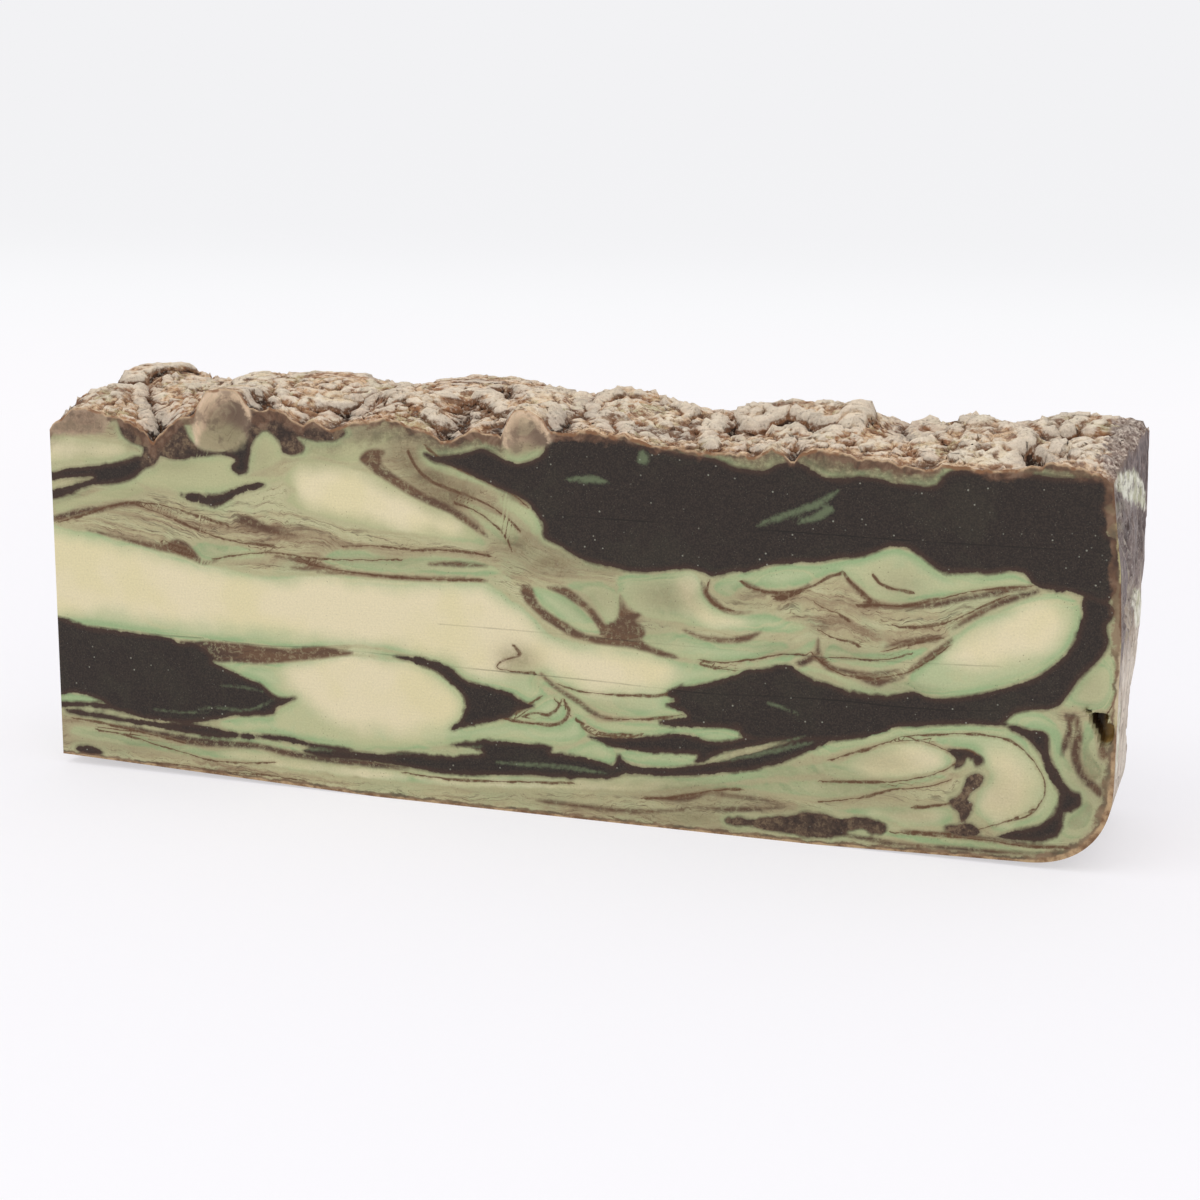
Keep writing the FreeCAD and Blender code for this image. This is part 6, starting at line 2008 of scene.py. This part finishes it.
        # Painted highlight: a thin pale tan line along the top edge of the cut face, where the crust meets
        # it.
        edge = g.mix(g.spread(g.noise(place, 0.35, 3.0), 0.4, 0.6), linear(136, 96, 66),
            linear(206, 176, 140))
        colour = g.mix(g.spread(uneven * 2.0 + below, 0.2, 0.8, 0.85, 0.0), colour, edge)
        skin = g.attribute("skin")
        inner = uneven * 5.0 + (g.spread(z, 40.0, 52.0) * -1.1 + skin)
        band = g.ramp(g.noise(place, 0.2, 3.0), (0.38, 76, 56, 46), (0.5, 108, 80, 60),
            (0.62, 134, 106, 84))
        low_part = g.spread(z, 36.0, 20.0)
        thinner = low_part * -1.2 + 1.2
        colour = g.mix(g.spread(inner + thinner, 1.7, 2.7, 0.8, 0.0), colour, band)
        tan = g.mix(g.spread(g.noise(place, 0.3, 4.0, 0.65), 0.36, 0.62), linear(118, 86, 60),
            linear(190, 160, 122))
        sallow = g.mix(g.spread(g.noise(g.shift(place, (4.0, 9.0, 2.0)), 0.16, 3.0), 0.5, 0.6),
            linear(108, 78, 58), linear(176, 166, 122))
        pale_rim = g.spread(abs(uneven * 12.0 + z - 41.0), 5.0, 11.0, 0.75, 0.0)
        sallow = g.mix(pale_rim, sallow, linear(208, 192, 160))
        colour = g.mix(g.spread(uneven * 2.6 + skin + thinner * 0.6, 0.8, 1.4, 0.9, 0.0), colour,
            g.mix(low_part, sallow, tan))
        hollow = g.mix(g.spread(x, 123.6, 126.2), linear(52, 38, 24), linear(176, 142, 82))
        on_line = g.spread(abs(g.attribute("drag")), 0.06, 0.22, 1.0, 0.0)
        broken = g.spread(g.noise(g.shift(place, (2.0, 0.0, 6.0)), 0.05, 3.0), 0.36, 0.6, 0.15, 0.9)
        scored = on_line * g.spread(g.attribute("drag_near"), 0.6, 0.9, 1.0, 0.0) * broken
        colour = g.mix(scored * g.spread(marbled["Dark share"], 0.0, 1.0, 0.4, 0.95), colour,
            linear(34, 29, 24))
        colour = g.mix(g.spread(g.attribute("pocket"), -0.1, 0.1), colour, hollow)
        g.feed(shader.inputs["Base Color"], colour)
        drag = g.noise(g.join(x * 0.02, y, z * 2.6), 1.0, 3.0, 0.6)
        height = marbled["Height"] * 0.5 + drag * 0.45
        height = height - crumb["Pits"] * 0.25
        height = height - scored * 0.7
        self.bump(g, shader, height, 0.35, 0.35)
        g.feed(shader.inputs["Roughness"], g.spread(marbled["Dark share"], 0.0, 1.0, self.slice_roughness,
            self.slice_roughness + 0.1))
        return material

    def crust(self, crumbs: bpy.types.NodeTree) -> bpy.types.Material:
        """Dried crust of the spooned top.

        Args:
            crumbs: The crumb group.

        Returns:
            The material.
        """
        material, g, shader = self.start("dried_crust")
        place = g.millimetres()
        crumb = g.use(crumbs, Place=place, Size=1.0)
        g.feed(shader.inputs["Base Color"], self.crust_colour(g, place, crumb))
        x, y, _ = g.split(place)
        ribs = g.noise(g.join(x * 0.12, y * 0.12, g.attribute("turns") * 5.0), 1.0, 4.0, 0.65, 0.4)
        lumps = g.noise(place, 0.32, 4.0, 0.65, 0.5)
        grit = g.noise(place, 1.1, 4.0, 0.75)
        height = ribs * 1.1 + (lumps * 1.5 + (grit * 0.8 + crumb["Height"]))
        self.bump(g, shader, height, 0.75, 0.8)
        g.feed(shader.inputs["Roughness"], g.spread(crumb["Height"], 0.2, 0.9, self.crust_roughness + 0.1,
            self.crust_roughness - 0.08))
        return material

    def moulded(self, swirl: bpy.types.NodeTree, crumbs: bpy.types.NodeTree) -> bpy.types.Material:
        """Skin left by the mould's liner: the marbling dulled by grey-mauve ash, with pale patches, dark
        specks and painted shade in the crumb pits.

        Args:
            swirl: The marbling's group.
            crumbs: The crumb group.

        Returns:
            The material.
        """
        material, g, shader = self.start("moulded_skin")
        place = g.millimetres()
        marbled = self.swirl(g, swirl, place)
        crumb = g.use(crumbs, Place=place, Size=0.7)
        x, y, z = g.split(place)
        ash_noise = g.noise(place, 0.06, 4.0, 0.6, 0.7)
        upright = g.noise(g.join(x * 0.5, y * 0.5, z * 0.06), 1.0, 4.0, 0.6, 0.3)
        cloudy = g.noise(g.shift(place, (6.0, 6.0, 6.0)), 0.12, 5.0, 0.68, 0.5) * 0.75 + upright * 0.25
        ash = g.ramp(cloudy, (0.36, 104, 89, 84), (0.46, 142, 126, 116), (0.54, 170, 155, 139),
            (0.64, 128, 112, 104))
        hazy = cloudy * 0.65 + upright * 0.35
        on_end = g.spread(x, 122.5, 126.0)
        powder = g.noise(place, 1.1, 4.0, 0.75)
        low_ash = g.ramp(hazy, (0.34, 128, 109, 94), (0.46, 190, 173, 155), (0.56, 230, 217, 200),
            (0.68, 168, 150, 133))
        high_ash = g.ramp(hazy, (0.34, 78, 66, 63), (0.46, 108, 94, 90), (0.56, 140, 125, 118),
            (0.68, 92, 79, 76))
        ash = g.mix(on_end, ash, g.mix(g.spread((upright - 0.5) * 60.0 + z, 44.0, 62.0), low_ash, high_ash))
        ash = g.coat(ash, powder, 0.52, 0.68, 0.5, (204, 195, 186))
        colour = g.mix(g.math("MAXIMUM", g.spread(ash_noise, 0.3, 0.56, 0.35, 0.92), on_end * 0.95),
            marbled["Color"], ash)
        green = g.spread(g.noise(g.shift(place, (14.0, 3.0, 8.0)), 0.055, 4.0, 0.65, 0.5), 0.53, 0.64)
        green = green * (1.0 - on_end)
        colour = g.mix(green * 0.6, colour, linear(188, 186, 158))
        ragged = (g.noise(place, 0.3, 4.0, 0.6) - 0.5) * 5.0
        mauve = g.ramp(g.noise(place, 0.5, 4.0, 0.7), (0.35, 78, 64, 62), (0.5, 104, 89, 86),
            (0.62, 140, 124, 118))
        colour = g.mix(g.spread(g.attribute("mauve") + ragged, -0.8, 0.8, 0.0, 0.9), colour, mauve)
        mint = g.mix(g.spread(g.noise(place, 0.25, 3.0), 0.35, 0.6), linear(190, 188, 156),
            linear(238, 236, 218))
        broken = g.spread(g.noise(place, 0.34, 4.0, 0.7), 0.36, 0.5, 0.3, 1.0)
        colour = g.mix(g.spread(g.attribute("mint") + ragged, -0.8, 0.8, 0.0, 0.9) * broken, colour, mint)
        pleat_near = g.attribute("pleat_near")
        colour = g.mix(g.spread(g.attribute("pleat"), -0.3, -1.2) * g.spread(pleat_near, 1.2, 2.6, 0.6,
            0.0), colour, linear(196, 184, 166))
        colour = g.mix(g.spread(pleat_near, 0.4, 1.5, 0.6, 0.0), colour, linear(74, 60, 55))
        below = g.attribute("rim")
        near_top = g.spread((crumb["Height"] - 0.55) * 4.0 + below, 0.3, 2.0, 0.8, 0.0)
        top_edge = near_top * (on_end * -0.8 + 1.0)
        colour = g.mix(top_edge, colour, linear(150, 126, 104))
        dots = g.spread(g.cells(g.shift(place, (2.0, 7.0, 5.0)), 0.6), 0.10, 0.22, 1.0, 0.0)
        # Dark specks, the soap's own colour, and painted shade in the crumb pits.
        colour = g.mix(g.math("MAXIMUM", dots, crumb["Pits"]) * 0.55, colour, linear(66, 52, 46))
        g.feed(shader.inputs["Base Color"], colour)
        self.bump(g, shader, crumb["Height"], 0.6, 0.6)
        g.feed(shader.inputs["Roughness"], g.spread(ash_noise, 0.3, 0.7, self.skin_roughness - 0.12,
            self.skin_roughness + 0.1))
        return material

    def dress(self, loaf: bpy.types.Object) -> None:
        """Gives the loaf its finishes, in the order of Region.

        Args:
            loaf: The loaf's object.
        """
        swirl, crumbs = swirl_group(self.palette), crumb_group()
        for material in (self.sliced(swirl, crumbs), self.crust(crumbs), self.moulded(swirl, crumbs)):
            loaf.data.materials.append(material)


@dataclass(frozen=True)
class Studio:
    """Pale floor and backdrop, soft lamps and the camera, in metres."""

    camera_place: tuple[float, float, float] = (0.17797, -0.49774, 0.16419)
    camera_turn: float = 19.2257
    camera_pitch: float = 12.6668
    lens: float = 69.0
    half_width: float = 3.0
    bend_start: float = 1.6
    bend_radius: float = 0.8
    wall_top: float = 3.2
    floor_colour: Colour = linear(252, 250, 252)
    sky_strength: float = 0.80
    paper_glow: float = 0.55
    key_power: float = 6.5
    fill_power: float = 3.5

    def floor(self) -> bpy.types.Object:
        """Floor: a wide flat sheet of paper, bent up behind the loaf as a quarter round and a wall.

        Returns:
            The floor's object.
        """
        across = np.linspace(-self.half_width, self.half_width, 13)
        bend = np.linspace(0, math.pi / 2, 17)
        level = np.linspace(-self.half_width, self.bend_start, 24)[:-1]
        turn = self.bend_start + self.bend_radius * np.sin(bend)
        run = np.concatenate([level, turn, np.full(6, self.bend_start + self.bend_radius)])
        wall = np.linspace(self.bend_radius + 0.2, self.wall_top, 6)
        rise = np.concatenate([np.zeros(23), self.bend_radius - self.bend_radius * np.cos(bend), wall])
        points = stack(across[:, None], run, rise)
        index = np.arange(across.size * run.size).reshape(across.size, run.size)
        faces = stack(index[:-1, :-1], index[1:, :-1], index[1:, 1:], index[:-1, 1:]).reshape(-1, 4)
        sweep = new_object("studio_sweep", points.reshape(-1, 3), faces.tolist())
        material = bpy.data.materials.new("studio_paper")
        material.use_nodes = True
        g = Graph(material.node_tree)
        paper = g.add("BsdfDiffuse")
        place = g.millimetres()
        g.feed(paper.inputs["Color"], g.mix(g.noise(place, 0.004, 2.0), self.floor_colour,
            linear(252, 251, 252)))
        far = g.add("Emission")
        x, y, z = g.split(place)
        g.feed(far.inputs["Color"], g.ramp(g.spread(z * 2.0 + y, 300.0, 2400.0), (0.0, 253, 251, 254),
            (0.35, 249, 249, 251), (0.8, 243, 243, 245), (1.0, 242, 242, 244)))
        reach = g.math("SQRT", x * x + y * y)
        rays = g.add("LightPath").outputs
        camera, gloss, glass = (Value(g, rays[f"Is {kind} Ray"])
            for kind in ("Camera", "Glossy", "Transmission"))
        seen = g.math("ADD", camera, gloss + glass, clamp=True)
        blend = g.add("MixShader")
        g.feed(blend.inputs[0], seen * g.spread(reach, 120.0, 700.0, self.paper_glow, 1.0))
        g.feed(blend.inputs[1], paper.outputs[0])
        g.feed(blend.inputs[2], far.outputs[0])
        g.feed(g.add("OutputMaterial").inputs["Surface"], blend.outputs[0])
        sweep.data.materials.append(material)
        return sweep

    def sky(self) -> None:
        """Even light from all round."""
        world = bpy.data.worlds.new("studio_light")
        bpy.context.scene.world = world
        world.use_nodes = True
        g = Graph(world.node_tree)
        background = g.add("Background")
        background.inputs["Color"].default_value = linear(250, 251, 255)
        background.inputs["Strength"].default_value = self.sky_strength
        g.feed(g.add("OutputWorld").inputs["Surface"], background.outputs[0])

    def lamp(self, name: str, place: tuple[float, float, float], aim: tuple[float, float, float],
            size: float, power: float) -> None:
        """A square soft box that faces a point.

        Args:
            name: Name of the lamp.
            place: Where it hangs.
            aim: The point that it faces.
            size: Length of its side.
            power: Its power in watts.
        """
        light = bpy.data.lights.new(name, "AREA")
        light.size = size
        light.energy = power
        box = bpy.data.objects.new(name, light)
        away = np.subtract(place, aim)
        tilt = math.acos(away[2] / np.linalg.norm(away))
        box.location = place
        box.rotation_euler = Euler((tilt, 0.0, math.atan2(away[1], away[0]) + math.pi / 2))
        bpy.context.scene.collection.objects.link(box)

    def camera(self) -> None:
        """The scene's camera, turned by its yaw and pitched down."""
        data = bpy.data.cameras.new("studio_camera")
        data.lens = self.lens
        data.clip_start, data.clip_end = 0.01, 20.0
        camera = bpy.data.objects.new("studio_camera", data)
        camera.location = self.camera_place
        camera.rotation_euler = Euler((math.radians(90 - self.camera_pitch), 0.0,
            math.radians(self.camera_turn)))
        bpy.context.scene.collection.objects.link(camera)
        bpy.context.scene.camera = camera

    def build(self) -> bpy.types.Object:
        """Sets the studio up and gives its floor.

        Returns:
            The floor's object.
        """
        self.sky()
        self.lamp("key_box", (-0.45, -0.75, 1.6), (0.0, 0.0, 0.05), 1.2, self.key_power)
        self.lamp("fill_box", (0.7, -1.3, 1.0), (0.0, 0.0, 0.05), 1.2, self.fill_power)
        self.camera()
        return self.floor()


def main() -> None:
    """Builds the loaf and the studio."""
    logging.basicConfig(level=logging.INFO, format="%(name)s: %(message)s")
    bpy.context.scene.view_settings.view_transform = "Standard"
    low, high = (np.array(corner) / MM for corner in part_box("soap_loaf"))
    shape = SoapLoaf(left=low[0], right=high[0], cut=low[1], back=high[1])
    loaf = shape.build("marbled_loaf")
    SoapFinishes().dress(loaf)
    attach(loaf, "root")
    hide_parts("soap_loaf")
    log.info("%s: %d faces", loaf.name, len(loaf.data.polygons))
    Studio().build()
    log.info("studio ready")


if __name__ == "__main__":
    main()
